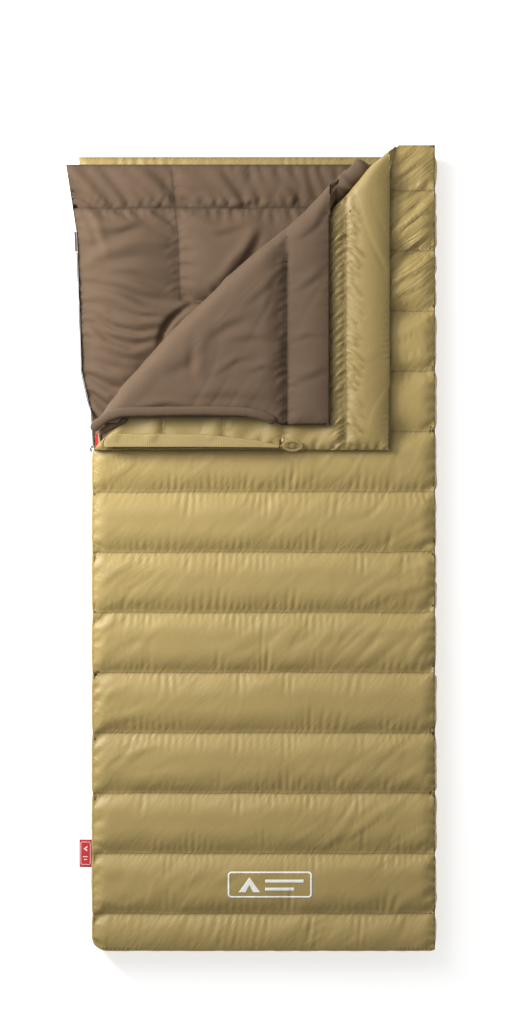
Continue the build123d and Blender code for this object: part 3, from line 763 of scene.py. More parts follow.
inner_flap_lining = panel(
    grid_steps(fold_low.x, fold_high.x, INNER_STEP), grid_steps(fold_low.y, fold_high.y, INNER_STEP), (),
    [inner_hem_x], base=fold_high.z - 0.0135, edge=fold_low.z + 0.009, crest=0.015, fullness=0.055, reach=0.014,
    push=1.6e-5, skew=0.008, seed=61, steps=90, sides="rf", ceiling=fold_high.z + 0.007, warp=draw_back,
    fine=0.011, gather=0.003,
)
drag(inner_flap_lining, 48, 0.05, 0.22, 0.0022, 65)
pucker(inner_flap_lining, "col", 0.017, 0.0020, 0.010, 67)
chevrons(inner_flap_lining, inner_hem_x, (0.345, 0.800), "y", 0.017, 0.024, 0.0040, 0.0030, 68)
wrinkles(inner_flap_lining, millimetres([
    ([(-147, 529), (-100, 560), (-40, 585)], 16, 2.6),
    ([(-147, 529), (-160, 470), (-158, 420)], 16, 2.6),
    ([(-90, 522), (-20, 532), (35, 522)], 14, 2.2),
    ([(-270, 440), (-200, 470), (-150, 525)], 20, 2.2),
    ([(-60, 600), (0, 650), (40, 700)], 13, 1.8),
    ([(-220, 385), (-80, 392), (30, 380)], 18, 2.2),
    ([(65, 420), (110, 432), (150, 450)], 13, 2),
    ([(70, 640), (110, 665), (150, 700)], 12, 2),
    ([(75, 770), (120, 800), (150, 850)], 12, 2.2),
    ([(-330, 345), (-250, 362), (-160, 352)], 10, 2),
    ([(-130, 430), (-70, 470), (-30, 478)], 10, 1.8),
    ([(-40, 440), (0, 455), (40, 440)], 9, 2),
    ([(75, 520), (110, 535), (150, 525)], 9, 1.8),
]), gain=1.5)
inner_flap_shell = panel(
    grid_steps(fold_low.x, fold_high.x, INNER_STEP), grid_steps(fold_low.y, fold_high.y, INNER_STEP), (),
    [inner_hem_x], base=fold_high.z - 0.0145, edge=fold_low.z + 0.009, crest=0.005, seed=62, steps=0, sides="rf",
    face=-1, floor=fold_low.z, warp=draw_back,
)
inner_flap = cloth(
    "inner_flap_quilt",
    [(inner_flap_lining, 0, False, [crease_cut(INNER_C, BACK)]), (inner_flap_shell, 0, True, [crease_cut(INNER_C)])],
    BROWN,
)
tie(inner_flap, "inner_corner", "brown_lining", *layers("inner_flap"), fill=0.6)
inner_roll = roll(
    "inner_crease_roll", inner_flap_lining, INNER_C, BACK, in_low.z + 0.001,
    [(0, 0.010), (0.1, 0.024), (0.25, 0.034), (0.4, 0.036), (0.6, 0.030), (0.75, 0.018), (0.88, 0.014), (1, 0.020)],
    (in_low.x + 0.002, in_high.y - INNER_C - 0.020), fold_low.y + 0.005, fold_high.x - 0.001, BROWN, 71,
)
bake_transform(inner_roll)

# ---- inner bottom quilt ----
bed_low, bed_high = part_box("inner_bottom_shell")
spread = [(-1.0, 0.0), (0.25, 0.0), (0.31, -0.012), (0.36, -0.032), (0.44, -0.050), (0.62, -0.056), (0.78, -0.062),
          (0.846, -0.072), (bed_high.y, bed_low.x - in_low.x)]


def spread_left(X, Y):
    """The unzipped left edge spreads out towards the head."""
    out = np.interp(Y, *zip(*spread))
    reach = np.clip((in_high.x - X) / (in_high.x - in_low.x), 0, 1)
    return inner_round(X + out * reach, Y)


bed_hem = bed_high.y - in_hem
bed_seam_x = -0.170
bed_seam_y = bed_hem - HEM_TO_SEAM
bed_x, bed_y = grid_steps(in_low.x, in_high.x, INNER_STEP), grid_steps(0.15, bed_high.y, INNER_STEP)
bed_plan = np.meshgrid(bed_x, bed_y)
beyond = np.clip((bed_plan[1] - bed_plan[0] - INNER_C) / 0.06, 0, 1)
bed_roof = bed_high.z + 0.0112 + 0.014 * beyond
bed_lining = panel(
    bed_x, bed_y,
    [bed_hem, (bed_seam_y, bed_seam_x + 0.06, 9.0)], [(bed_seam_x, 0.618, 9.0)], base=bed_high.z - 0.008,
    edge=bed_high.z - 0.009, crest=0.020, fullness=0.10, reach=0.025, push=1.6e-5, skew=0.014, seed=81, steps=90,
    warp=spread_left, ceiling=bed_roof, sides="lrh", fine=0.012, gather=0.003,
)
on_hem = bed_lining["v"] > bed_hem
stronger_right = np.clip(0.5 + (bed_lining["u"] + 0.2) * 3, 0.35, 1.0)
drag(bed_lining, 55, 0.035, 0.10, 0.0052, 85, strength=on_hem * stronger_right)
drag(bed_lining, -15, 0.050, 0.20, 0.0030, 87, strength=(bed_lining["v"] < bed_hem) * 0.8)
tuck = [(-135, 612), (-190, 602), (-232, 568), (-252, 535), (-262, 490)]
wrinkles(bed_lining, millimetres([
    (tuck, 7.5, -13),
    ([(-262, 498), (-330, 480), (-400, 505), (-452, 560)], 15, 7.5),
    ([(-236, 585), (-300, 590), (-360, 622), (-456, 640)], 16, 6.5),
    ([(-250, 560), (-310, 560), (-370, 578)], 10, 5.5),
    ([(-256, 532), (-310, 522), (-380, 535), (-430, 570)], 9, 5),
    ([(-205, 612), (-260, 630), (-330, 660), (-390, 665)], 14, 4.5),
    ([(-225, 760), (-320, 762), (-400, 735), (-462, 700)], 20, 5.2),
    ([(-220, 680), (-310, 700), (-400, 690)], 18, 3.5),
    ([(-90, 690), (-50, 740), (-20, 800)], 16, 6),
    ([(-150, 640), (-100, 680), (-60, 735)], 16, 3.5),
    ([(-180, 820), (-120, 790), (-40, 815)], 15, 3.5),
    ([(-320, 425), (-390, 430), (-436, 460)], 16, 4),
    ([(-300, 452), (-360, 455), (-420, 490)], 14, 3.5),
    ([(-330, 385), (-390, 375), (-420, 390)], 14, 3),
    ([(-440, 800), (-360, 800), (-300, 822)], 15, 3.5),
    ([(-452, 860), (-420, 820), (-390, 730)], 12, 4),
    ([(-140, 860), (-80, 850), (-20, 870)], 10, 4),
    ([(-420, 600), (-370, 560), (-300, 545)], 8, 3.5),
]), gain=1.4)
pucker(bed_lining, "row", 0.018, 0.0028, 0.010, 91)
pucker(bed_lining, "col", 0.018, 0.0028, 0.010, 93)
seam_at = float(spread_left(np.array(bed_seam_x), np.array(0.72))[0])
chevrons(bed_lining, seam_at, (0.640, 0.875), "y", 0.019, 0.024, 0.0045, 0.0030, 94)
chevrons(bed_lining, bed_hem, (-0.440, 0.120), "x", 0.018, 0.026, 0.0045, 0.0034, 95, slant=-0.5)
bed_lining["P"][..., 2] = np.minimum(bed_lining["P"][..., 2], bed_roof + 0.004 * beyond)
bed_lining_foot = panel(
    grid_steps(in_low.x, in_high.x, 0.012), grid_steps(in_low.y, 0.15, 0.012), HIDDEN_SEAMS[1:], (),
    base=bed_high.z - 0.006, edge=bed_high.z - 0.009, crest=0.005, seed=82, steps=0, sides="lrf",
)
bed_under = panel(
    grid_steps(in_low.x, in_high.x, 0.012), grid_steps(in_low.y, bed_high.y, 0.012),
    [bed_hem, bed_seam_y] + HIDDEN_SEAMS, base=bed_low.z + 0.008, edge=bed_high.z - 0.009, crest=0.007,
    seed=83, steps=0, face=-1, warp=spread_left,
)
inner_bottom = cloth(
    "inner_bottom_quilt",
    [bed_lining, bed_lining_foot, (bed_under, 0, True, [])],
    BROWN,
)
tie(inner_bottom, "bag", "brown_lining", *layers("inner_bottom"), fill=0.6)

# ---- outer bottom quilt ----
base_low, base_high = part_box("outer_bottom_shell")
open_y = LEFT + OUTER_C


def spread_outer(X, Y):
    out = np.interp(Y, [-1, open_y, base_high.y], [0, 0, base_low.x - LEFT])
    out = out * np.clip((RIGHT - X) / (RIGHT - LEFT), 0, 1)
    return outer_round(X + out, Y)


base_seams = [HEAD - HEM - SEAM_PITCH * i for i in range(1, 13)] + [base_high.y - HEM]
ground_grid = panel(
    grid_steps(LEFT, RIGHT, 0.010), grid_steps(FOOT, base_high.y, 0.010), base_seams, base=0.009,
    edge=base_high.z / 2, crest=0.009, fullness=0.05, seed=91, steps=50, face=-1, floor=0.0, warp=spread_outer,
)
base_lining = panel(
    grid_steps(LEFT, RIGHT, 0.005), grid_steps(FOOT, base_high.y, 0.010), base_seams, base=0.012,
    edge=base_high.z / 2, crest=0.0095, fullness=0.06, seed=92, steps=40, warp=spread_outer, ceiling=base_high.z,
)
head_strip = np.clip((base_lining["v"] - 0.90) / 0.03, 0, 1)
drag(base_lining, 78, 0.035, 0.10, 0.0045, 95, strength=head_strip, clear=0.008)
base_lining["P"][..., 2] = np.minimum(base_lining["P"][..., 2], base_high.z + 0.002)
outer_bottom = cloth(
    "outer_bottom_quilt", [(ground_grid, 0, True, []), (base_lining, 1, False, [])], KHAKI, KHAKI_INSIDE,
)
tie(outer_bottom, "bag", "khaki_shell", *layers("outer_bottom"), fill=0.7)

# ---- materials of the trims ----
def woven_tape(name, colour, dark, rib=0.0016):
    """Narrow woven tape: a herringbone along its length with ribbed edges."""
    n = Nodes(name)
    place = n.attribute("panel")
    cross = n.bands(place, "DIAGONAL", rib * 9.0 / FULL_TURN)
    threads = n.math("MAXIMUM", n.bands(place, "X", rib, in_Distortion=0.6), cross)
    worn = n.noise(place, 30.0, 4.0)
    tone = n.math("MULTIPLY_ADD", threads, 0.5, n.math("MULTIPLY", worn, 0.45))
    n.surface(Base_Color=n.mix(tone, dark, colour), Roughness=n.math("MULTIPLY_ADD", worn, 0.2, 0.6),
              Sheen_Weight=0.1, Sheen_Tint=colour, Specular_IOR_Level=0.2)
    n.bump(threads, 0.0003)
    return n.material


def moulded(name, colour, dark, rough=0.4, metal=0.0, grain=900.0):
    """Moulded or cast parts: fine grain, handling marks and slightly uneven colour."""
    n = Nodes(name)
    where = n.add("TexCoord").outputs["Object"]
    marks = n.noise(n.stretch(where, (1, 4, 1)), 160.0, 5.0, 0.7)
    fine = n.noise(where, grain, 3.0)
    n.surface(Base_Color=n.mix(marks, dark, colour), Roughness=n.math("MULTIPLY_ADD", marks, 0.3, rough - 0.15),
              Metallic=metal)
    n.bump(n.math("MULTIPLY_ADD", marks, 0.5, fine), 0.00015)
    return n.material


def flat_cloth(name, colour, dark, thread=0.0008, ribbed=0.0, rough=0.7):
    """Plain or ribbed cloth placed by panel coordinates. ribbed is the pitch of its gathered ribs across it."""
    n = Nodes(name)
    place = n.attribute("panel")
    threads = n.weave(place, thread)
    cloud = n.noise(place, 14.0, 4.0)
    height = n.math("MULTIPLY", threads, 0.1)
    tone = n.math("MULTIPLY_ADD", threads, 0.2, n.math("MULTIPLY", cloud, 0.6))
    if ribbed:
        ribs = n.bands(n.stretch(place, (1, 0.5, 1)), "X", ribbed, in_Distortion=2.2, in_Detail=2.0)
        height = n.math("MULTIPLY_ADD", ribs, 0.2, height)
        tone = n.math("MULTIPLY_ADD", ribs, 0.18, n.math("MULTIPLY", tone, 0.85))
    n.surface(Base_Color=n.mix(tone, dark, colour), Roughness=rough, Sheen_Weight=0.15, Sheen_Tint=colour)
    n.bump(height, 0.001)
    return n.material


OLIVE_TAPE = woven_tape("olive_woven_tape", rgb(104, 95, 60), rgb(66, 60, 38))
BROWN_TAPE = woven_tape("brown_woven_tape", rgb(92, 74, 60), rgb(58, 46, 38))
OLIVE_TEETH = moulded("olive_nylon", rgb(122, 108, 58), rgb(92, 82, 44), rough=0.35)
BROWN_TEETH = moulded("brown_nylon", rgb(66, 52, 42), rgb(46, 36, 30), rough=0.6)
METAL = moulded("zinc_alloy", rgb(178, 180, 184), rgb(120, 122, 128), rough=0.38, metal=1.0)
DARK_METAL = moulded("dark_stop_alloy", rgb(92, 84, 66), rgb(60, 54, 42), rough=0.5, metal=0.8)
RED_PLASTIC = moulded("red_moulded", rgb(214, 34, 40), rgb(176, 20, 28), rough=0.42)
RED_CLOTH = flat_cloth("red_label_cloth", rgb(206, 44, 52), rgb(168, 24, 34), thread=0.0006)
WHITE_THREAD = flat_cloth("pale_label_thread", rgb(238, 226, 220), rgb(214, 196, 188), thread=0.0005)
WHITE_INK = flat_cloth("white_print_ink", rgb(246, 246, 240), rgb(226, 226, 216), thread=0.0012, rough=0.55)
RIBBED = flat_cloth("khaki_ribbed_band", rgb(166, 146, 94), rgb(142, 123, 76), ribbed=0.0028)
WEBBING = woven_tape("khaki_webbing", rgb(156, 137, 88), rgb(104, 91, 57), rib=0.0011)
KHAKI_THREAD = moulded("khaki_thread", rgb(146, 126, 76), rgb(112, 96, 56), rough=0.7, grain=2500.0)
BROWN_THREAD = moulded("brown_thread", rgb(78, 62, 50), rgb(56, 44, 36), rough=0.75, grain=2500.0)


# ---- runs along the edges ----
def closed_run(left, foot, radius, top, right, step=0.006):
    """Points and outward directions down a bag's left side, round its foot corner and along its foot."""
    down = [(left, y, -1, 0) for y in np.arange(top, foot + radius, -step)]
    turn = [(left + radius * (1 - math.cos(a)), foot + radius * (1 - math.sin(a)), -math.cos(a), -math.sin(a))
            for a in np.linspace(0, math.pi / 2, 10)]
    along = [(x, foot, 0, -1) for x in np.arange(left + radius + step, right, step)] + [(right, foot, 0, -1)]
    return np.array(down + turn + along)


def run_along(points, step=0.006):
    """The same for a line of points, with its outside on the left hand."""
    points = np.array(points)
    length = arc_length(points)
    x, y = at_lengths(np.linspace(0, length[-1], max(3, int(length[-1] / step) + 1)), length, points).T
    dx, dy = np.gradient(x), np.gradient(y)
    size = np.hypot(dx, dy)
    return np.column_stack([x, y, -dy / size, dx / size])


def ribbon(run, profile, wave=0.0, seed=0):
    """A strip along a run, from (outward reach, height) pairs. wave makes its last edge wander."""
    base, out = run[:, :2], run[:, 2:]
    length = arc_length(base)
    wander = smooth_noise((1, len(run)), np.diff(length).mean(), 0.07, seed)[0] * wave
    heights = [z for _, z in profile]
    low, high = min(heights), max(heights)
    rows = []
    for reach, z in profile:
        lean = (z - low) / (high - low + 1e-9)
        rows.append(np.column_stack([base + out * (reach + wander * lean)[:, None], np.full(len(run), z)]))
    U, V = np.meshgrid(length, arc_length(np.array(profile)))
    return plain_grid(np.array(rows), U, V)


def tape(run, near, far, low, high, wave=0.0, seed=0, lean=0.0):
    """A thin closed strip between two reaches and two heights. lean is how far its top edge falls inwards."""
    rise = [(low + (high - low) * k / 4, -lean * (k / 4) ** 2) for k in range(5)]
    profile = [(far + back, z) for z, back in rise] + [(near + back, z) for z, back in reversed(rise)]
    return ribbon(run, profile + profile[:1], wave, seed)


def teeth(run, reach, height, half, pitch=0.0025, start=0.0):
    """Rounded zip teeth along a run: points and faces. half is a tooth's half size along, outward and up."""
    base, out = run[:, :2], run[:, 2:]
    length = arc_length(base)
    at = np.arange(start + pitch / 2, length[-1], pitch)
    centres, outward = at_lengths(at, length, base), unit_rows(at_lengths(at, length, out))
    ring = [(-1, 0), (-0.55, 1), (0.55, 1), (1, 0), (0.55, -1), (-0.55, -1)]
    points, faces = [], []
    for (x, y), (nx, ny) in zip(centres, outward):
        first = len(points)
        for side, shrink in ((-1, 0.7), (-0.6, 1.0), (0.6, 1.0), (1, 0.7)):
            for a, b in ring:
                r = reach + side * half[1]
                along = a * half[0] * shrink
                points.append((x + nx * r + ny * along, y + ny * r - nx * along, height + b * half[2] * shrink))
        for layer in range(3):
            for i in range(6):
                a, b = first + layer * 6 + i, first + layer * 6 + (i + 1) % 6
                faces.append((a, b, b + 6, a + 6))
        faces.append(tuple(first + i for i in range(5, -1, -1)))
        faces.append(tuple(first + 18 + i for i in range(6)))
    return points, faces


def loose_mesh(name, groups, material):
    """One object from several (points, faces) groups."""
    points, faces = [], []
    for some, these in groups:
        shift = len(points)
        points += some
        faces += [tuple(i + shift for i in face) for face in these]
    mesh = bpy.data.meshes.new(name)
    mesh.from_pydata(points, [], faces)
    bm = bmesh.new()
    bm.from_mesh(mesh)
    bmesh.ops.recalc_face_normals(bm, faces=bm.faces[:])
    bm.to_mesh(mesh)
    bm.free()
    return new_object(name, mesh, material)


def stitching(name, lines, material, pitch=0.0042, half=(0.00145, 0.0004, 0.00035)):
    """Thread along lines of (x, y, z) points: one short lozenge a stitch."""
    points, faces = [], []
    for line in lines:
        line = np.array(line)
        length = arc_length(line)
        at = np.arange(pitch / 2, length[-1], pitch)
        centre = at_lengths(at, length, line)
        along = at_lengths(at + pitch / 3, length, line) - centre
        along /= np.sqrt((along ** 2).sum(1))[:, None] + 1e-9
        side = np.column_stack([-along[:, 1], along[:, 0], np.zeros(len(at))])
        up = np.cross(along, side)
        up[up[:, 2] < 0] *= -1
        corners = [centre - along * half[0], centre + side * half[1], centre + along * half[0],
                   centre - side * half[1], centre + up * half[2] * 1.4, centre - up * half[2]]
        first = len(points)
        count = len(at)
        for set_of in corners:
            points += set_of.tolist()
        for i in range(count):
            a, b, c, d, top, bottom = (first + k * count + i for k in range(6))
            faces += [(a, b, top), (b, c, top), (c, d, top), (d, a, top),
                      (b, a, bottom), (c, b, bottom), (d, c, bottom), (a, d, bottom)]
    return loose_mesh(name, [(points, faces)], material)


def seam_line(grid, row=None, col=None, lift=0.0004, keep=None):
    """The points of a grid's seam nearest to a row or column place, lifted onto the cloth."""
    if row is not None:
        line = grid["P"][np.argmin(abs(grid["v"][:, 0] - row)), 3:-3]
    else:
        line = grid["P"][3:-3, np.argmin(abs(grid["u"][0] - col))]
    if keep is not None:
        line = line[keep(line[:, 0], line[:, 1])]
    return line + np.array([0, 0, lift])


# ---- side gussets ----
def wall(name, x, depth, ys, z, seams, crest, material, seed, node, slot_name):
    """A padded side wall, quilted across, bulging out past x."""
    along, up = grid_steps(ys[0], ys[1], 0.006), grid_steps(z[0], z[1], 0.005)
    outside = panel(along, up, (), seams, base=0.0005, edge=0.0, crest=crest, fullness=0.06, seed=seed, steps=50,
                    push=1.6e-5)
    drag(outside, 72, 0.022, 0.07, 0.0030, seed + 3, clear=0.008)
    pucker(outside, "col", 0.0125, 0.0022, 0.014, seed + 5)
    inside = panel(along, up, (), seams, base=0.0, edge=0.0, crest=depth * 0.6, seed=seed + 50, steps=0, face=-1)
    faces = []
    for grid, flip in ((outside, False), (inside, True)):
        P = grid["P"]
        faces.append((dict(grid, P=np.dstack([x + P[..., 2], P[..., 0], P[..., 1]])), 0, flip, []))
    return tie(cloth(name, faces, material), "bag", slot_name, node, fill=0.6)


wall("outer_gusset_wall", RIGHT - 0.002, 0.015, (FOOT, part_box("outer_side_gusset")[1].y), (0.0100, middle_z),
     seam_lines, 0.0090, KHAKI, 101, "outer_side_gusset", "khaki_shell")
inner_gusset_low, inner_gusset_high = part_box("inner_side_gusset")
wall("inner_gusset_wall", inner_gusset_low.x, 0.010, (inner_gusset_low.y, inner_gusset_high.y),
     (bed_high.z - 0.009, in_middle), [in_high.y - in_hem, 0.59] + HIDDEN_SEAMS, 0.008, BROWN, 111,
     "inner_side_gusset", "inner_shell")

# ---- zips ----
CHAIN_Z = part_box("outer_zip_coil_upper")[0].z - 0.0008
STANDOFF, TAPE_THICK, TOOTH = 0.0006, 0.0008, (0.00062, 0.0016, 0.0018)
CHAIN_OUT = STANDOFF + TAPE_THICK / 2


def zip_pieces(bag, colour, tape_material, tooth_material, run, reach, open_run, open_z):
    """Both halves of a bag's zip: woven tapes and their rows of teeth, closed and then unzipped along the bottom."""
    far = STANDOFF + TAPE_THICK
    halves = {
        "lower": tape(run, STANDOFF, far, CHAIN_Z - reach, CHAIN_Z - 0.003),
        "upper": tape(run, STANDOFF, far, CHAIN_Z + 0.003, CHAIN_Z + reach),
    }
    for half, grid in halves.items():
        faces = [grid]
        if half == "lower":
            faces.append(tape(open_run, STANDOFF, far, *open_z, wave=0.001, seed=7))
        piece = cloth(f"{bag}_zip_{half}_tape", faces, tape_material, weld=0.00005)
        tie(piece, "bag", colour + "_tape", f"{bag}_zip_tape_{half}")
        sign = -1 if half == "lower" else 1
        groups = [teeth(run, CHAIN_OUT, CHAIN_Z + sign * 0.0012, TOOTH, start=0 if half == "lower" else 0.00125)]
        if half == "lower":
            groups.append(teeth(open_run, far + 0.0015, sum(open_z) / 2 + 0.001, TOOTH))
        row = loose_mesh(f"{bag}_zip_{half}_teeth", groups, tooth_material)
        tie(row, "bag", colour + "_coil", f"{bag}_zip_coil_{half}")


LEAN = 0.003


def folded_zip(bag, colour, tape_material, tooth_material, edge, tape_z, tooth_z):
    """A zip's upper half where it goes with the folded corner, standing along that corner's near edge."""
    run = run_along(edge)
    run[:, 2:] *= -1
    grid = tape(run, STANDOFF, STANDOFF + TAPE_THICK, tape_z[0], tape_z[1], wave=0.0012, seed=17, lean=LEAN)
    strip = cloth(f"{bag}_folded_tape", [grid], tape_material, weld=0.00005)
    tie(strip, bag + "_corner", colour + "_tape", f"{bag}_flap_zip_tape")
    run = run.copy()
    run[:, :2] += run[:, 2:] * smooth_noise((1, len(run)), 0.006, 0.07, 17)[0][:, None] * 0.0012
    row = loose_mesh(f"{bag}_folded_teeth", [teeth(run, CHAIN_OUT - LEAN, tooth_z, TOOTH)], tooth_material)
    tie(row, bag + "_corner", colour + "_coil", f"{bag}_flap_zip_coil")


def between(node, axis):
    low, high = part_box(node)
    return low[axis], high[axis]


outer_top_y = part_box("outer_zip_coil_upper")[1].y
inner_top_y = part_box("inner_zip_coil_upper")[1].y
outer_end_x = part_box("outer_zip_coil_upper")[1].x
inner_end_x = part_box("inner_zip_coil_upper")[1].x
outer_reach = 0.0135
inner_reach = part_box("inner_zip_tape_upper")[1].z - CHAIN_Z
outer_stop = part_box("outer_zip_top_stop")[0].y
inner_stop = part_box("inner_zip_top_stop")[0].y
outer_edge = [spread_outer(LEFT, y) for y in (open_y + 0.012, (open_y + outer_stop) / 2, outer_stop)]
inner_edge = [spread_left(in_low.x, y) for y in np.linspace(in_low.x + INNER_C + 0.012, inner_stop, 40)]
zip_pieces("outer", "olive", OLIVE_TAPE, OLIVE_TEETH,
           closed_run(LEFT, FOOT, FOOT_RADIUS, outer_top_y, outer_end_x), outer_reach, run_along(outer_edge),
           (base_low.z + 0.001, base_high.z - 0.001))
zip_pieces("inner", "brown", BROWN_TAPE, BROWN_TEETH,
           closed_run(in_low.x, in_low.y, INNER_RADIUS, inner_top_y, inner_end_x), inner_reach,
           run_along(inner_edge), (bed_low.z + 0.001, bed_high.z - 0.001))
tape_x = between("outer_flap_zip_tape", 0)
band_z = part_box("outer_flap_draft_flap")[1].z
FOLDED_TAPE_Z = (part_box("outer_flap_zip_tape")[0].z + 0.0010, band_z + 0.0020)
folded_zip("outer", "olive", OLIVE_TAPE, OLIVE_TEETH, [(tape_x[0], flap_low.y), (tape_x[1], flap_low.y)],
           FOLDED_TAPE_Z, FOLDED_TAPE_Z[1] + 0.0012)
tape_x = between("inner_flap_zip_tape", 0)
inner_front = [(x, float(front_of(np.array(x)))) for x in np.linspace(tape_x[0], tape_x[1], 60)]
folded_zip("inner", "brown", BROWN_TAPE, BROWN_TEETH, inner_front, between("inner_flap_zip_tape", 2),
           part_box("inner_flap_zip_coil")[0].z + 0.0012)


def clip(name, centre, along, half, node, body):
    """A small pressed metal stop: a rounded block pinched round the teeth."""
    bm = bmesh.new()
    bmesh.ops.create_cube(bm, size=2.0)
    bmesh.ops.bevel(bm, geom=bm.edges[:], offset=0.35, segments=3, affect="EDGES")
    side = Vector((-along[1], along[0], 0)).normalized()
    forward = Vector((along[0], along[1], 0)).normalized()
    for v in bm.verts:
        pinch = 1 - 0.25 * (1 - v.co.x ** 2)
        v.co = (Vector(centre) + forward * v.co.x * half[0] + side * v.co.y * half[1] * pinch
                + Vector((0, 0, v.co.z * half[2] * pinch)))
    mesh = bpy.data.meshes.new(name)
    bm.to_mesh(mesh)
    bm.free()
    return tie(new_object(name, mesh, DARK_METAL), body, "zip_metal", node)


inner_stop_at = spread_left(in_low.x, inner_stop + 0.002)
bed_middle = (bed_low.z + bed_high.z) / 2
clip("inner_zip_end_clip", (inner_stop_at[0] - 0.003, inner_stop_at[1], bed_middle + 0.001), (0, 1),
     (0.002, 0.0017, 0.0018), "inner_zip_top_stop", "bag")
stop_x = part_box("inner_flap_top_stop")[0].x
clip("inner_folded_end_clip", (stop_x + 0.002, float(front_of(np.array(stop_x))) - 0.001,
                               middle_of("inner_flap_top_stop")[2]), (1, 0), (0.002, 0.0017, 0.0018),
     "inner_flap_top_stop", "inner_corner")
clip("outer_folded_end_clip",
     (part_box("outer_flap_top_stop")[0].x + 0.002, flap_low.y - 0.0010 + LEAN, FOLDED_TAPE_Z[1] + 0.0012), (1, 0),
     (0.002, 0.0016, 0.0021), "outer_flap_top_stop", "outer_corner")


def skirt(name, run, profile, seams, seed, patches=()):
    """An outer quilt's padded edge along a run, from (outward reach, height) pairs: pinched at the seams that reach
    its left side, and closed at both ends."""
    grid = ribbon(run, profile)
    P, length = grid["P"], grid["u"][0]
    pinch = np.min([np.hypot(run[:, 0] - LEFT, run[:, 1] - y) for y in seams], axis=0)
    slack = 0.62 * (1 - np.clip(pinch / 0.040, 0, 1) ** 0.5) + 0.16 * smooth_noise((1, len(run)), 0.006, 0.016, seed)[0]
    for row, (reach, _) in zip(P, profile):
        row[:, :2] -= run[:, 2:] * (max(reach, 0) * slack)[:, None]
    middle = P.mean(0)
    end = np.minimum(length, length[-1] - length)
    P[:] = middle + (P - middle) * np.clip(np.sqrt(end / 0.008), 0.03, 1)[None, :, None]
    grid["col"] = np.broadcast_to(pinch, P.shape[:2])
    faces = [grid] + [ribbon(*patch) for patch in patches]
    return tie(cloth(name, faces, KHAKI, weld=0.00005), "bag", "khaki_shell", fill=0.6)


edge_run = closed_run(LEFT, FOOT, FOOT_RADIUS, outer_top_y - 0.003, RIGHT - 0.0005)
chain_gap = 0.0110
top_edge, chain_top = middle_z - 0.0015, CHAIN_Z + chain_gap
skirt("outer_top_skirt", edge_run, [
    (0, top_edge), (0.0028, top_edge - 0.0035), (0.0042, (top_edge + chain_top) / 2 + 0.002),
    (0.0040, chain_top + 0.006), (0.0022, chain_top + 0.0015), (-0.0005, chain_top), (-0.004, chain_top + 0.002),
    (-0.004, top_edge - 0.002), (0, top_edge)], seam_lines, 201)
low_edge, chain_low = base_high.z / 2 - 0.0005, CHAIN_Z - chain_gap
corner_run = edge_run[edge_run[:, 0] > outer_end_x + 0.004]
skirt("outer_bottom_skirt", edge_run, [
    (0, low_edge), (-0.004, low_edge + 0.002), (-0.004, chain_low - 0.002), (-0.0005, chain_low),
    (0.0022, chain_low - 0.0015), (0.0040, chain_low - 0.006), (0.0042, (low_edge + chain_low) / 2 - 0.002),
    (0.0028, low_edge + 0.0035), (0, low_edge)], seam_lines, 202,
    patches=[(corner_run, [(0.0, chain_low - 0.006), (-0.003, chain_low - 0.006), (-0.003, chain_top + 0.006),
                           (0.0, chain_top + 0.006), (0.0025, CHAIN_Z), (0.0, chain_low - 0.006)])])

finishes = {
    METAL: ("outer_slider_body", "inner_slider_body", "outer_pull_outside", "inner_pull"),
    DARK_METAL: ("outer_zip_top_stop", "outer_zip_bottom_stop", "inner_zip_bottom_stop"),
    RED_PLASTIC: ("outer_pull_inside",),
}
for finish, nodes in finishes.items():
    for node in nodes:
        for place in frame["nodes"][node].material_slots:
            place.material = finish


# ---- draft flaps and draft tubes ----
def tube(name, centres, half_wide, half_high, material, seed, body, slot_name, node, fill=None, piping=True,
         uneven=0.05, end_round=0.010):
    """A soft tube through (x, y, z) points, flatter than it is wide, gathered here and there and closed at its ends."""
    centres = np.array(centres, float)
    length = arc_length(centres)
    count, turns = max(24, int(length[-1] / 0.005)), 20
    at = np.linspace(0, length[-1], count)
    middle = smooth_line(at_lengths(at, length, centres), 6)
    along = unit_rows(np.gradient(middle, axis=0))
    side = unit_rows(np.column_stack([-along[:, 1], along[:, 0], np.zeros(count)]))
    up = np.cross(along, side)
    angle = np.linspace(0, 2 * math.pi, turns + 1)[:, None]
    end = np.minimum(at, length[-1] - at)
    close = np.sqrt(np.clip(1 - (1 - np.clip(end / end_round, 0, 1)) ** 2, 0, 1)) * 0.97 + 0.03
    gather = smooth_noise((turns + 1, count), length[-1] / count, (0.016, 0.09), seed)
    gather[-1] = gather[0]
    swell = close[None, :] * (1 + uneven * gather)
    P = middle[None] + (np.cos(angle) * swell * half_wide)[..., None] * side[None]
    P = P + (np.sin(angle) * swell * half_high)[..., None] * up[None]
    U, V = np.meshgrid(at, np.linspace(0, 2 * math.pi * half_wide, turns + 1))
    grid = plain_grid(P, U, V)
    # Piping: a seam distance along one side of the tube, where the cloth's painted seam shade darkens the colour.
    if piping:
        grid["row"] = np.abs(V)
    nodes = (node,) if node else ()
    return tie(cloth(name, [grid], material), body, slot_name, *nodes, fill=fill)


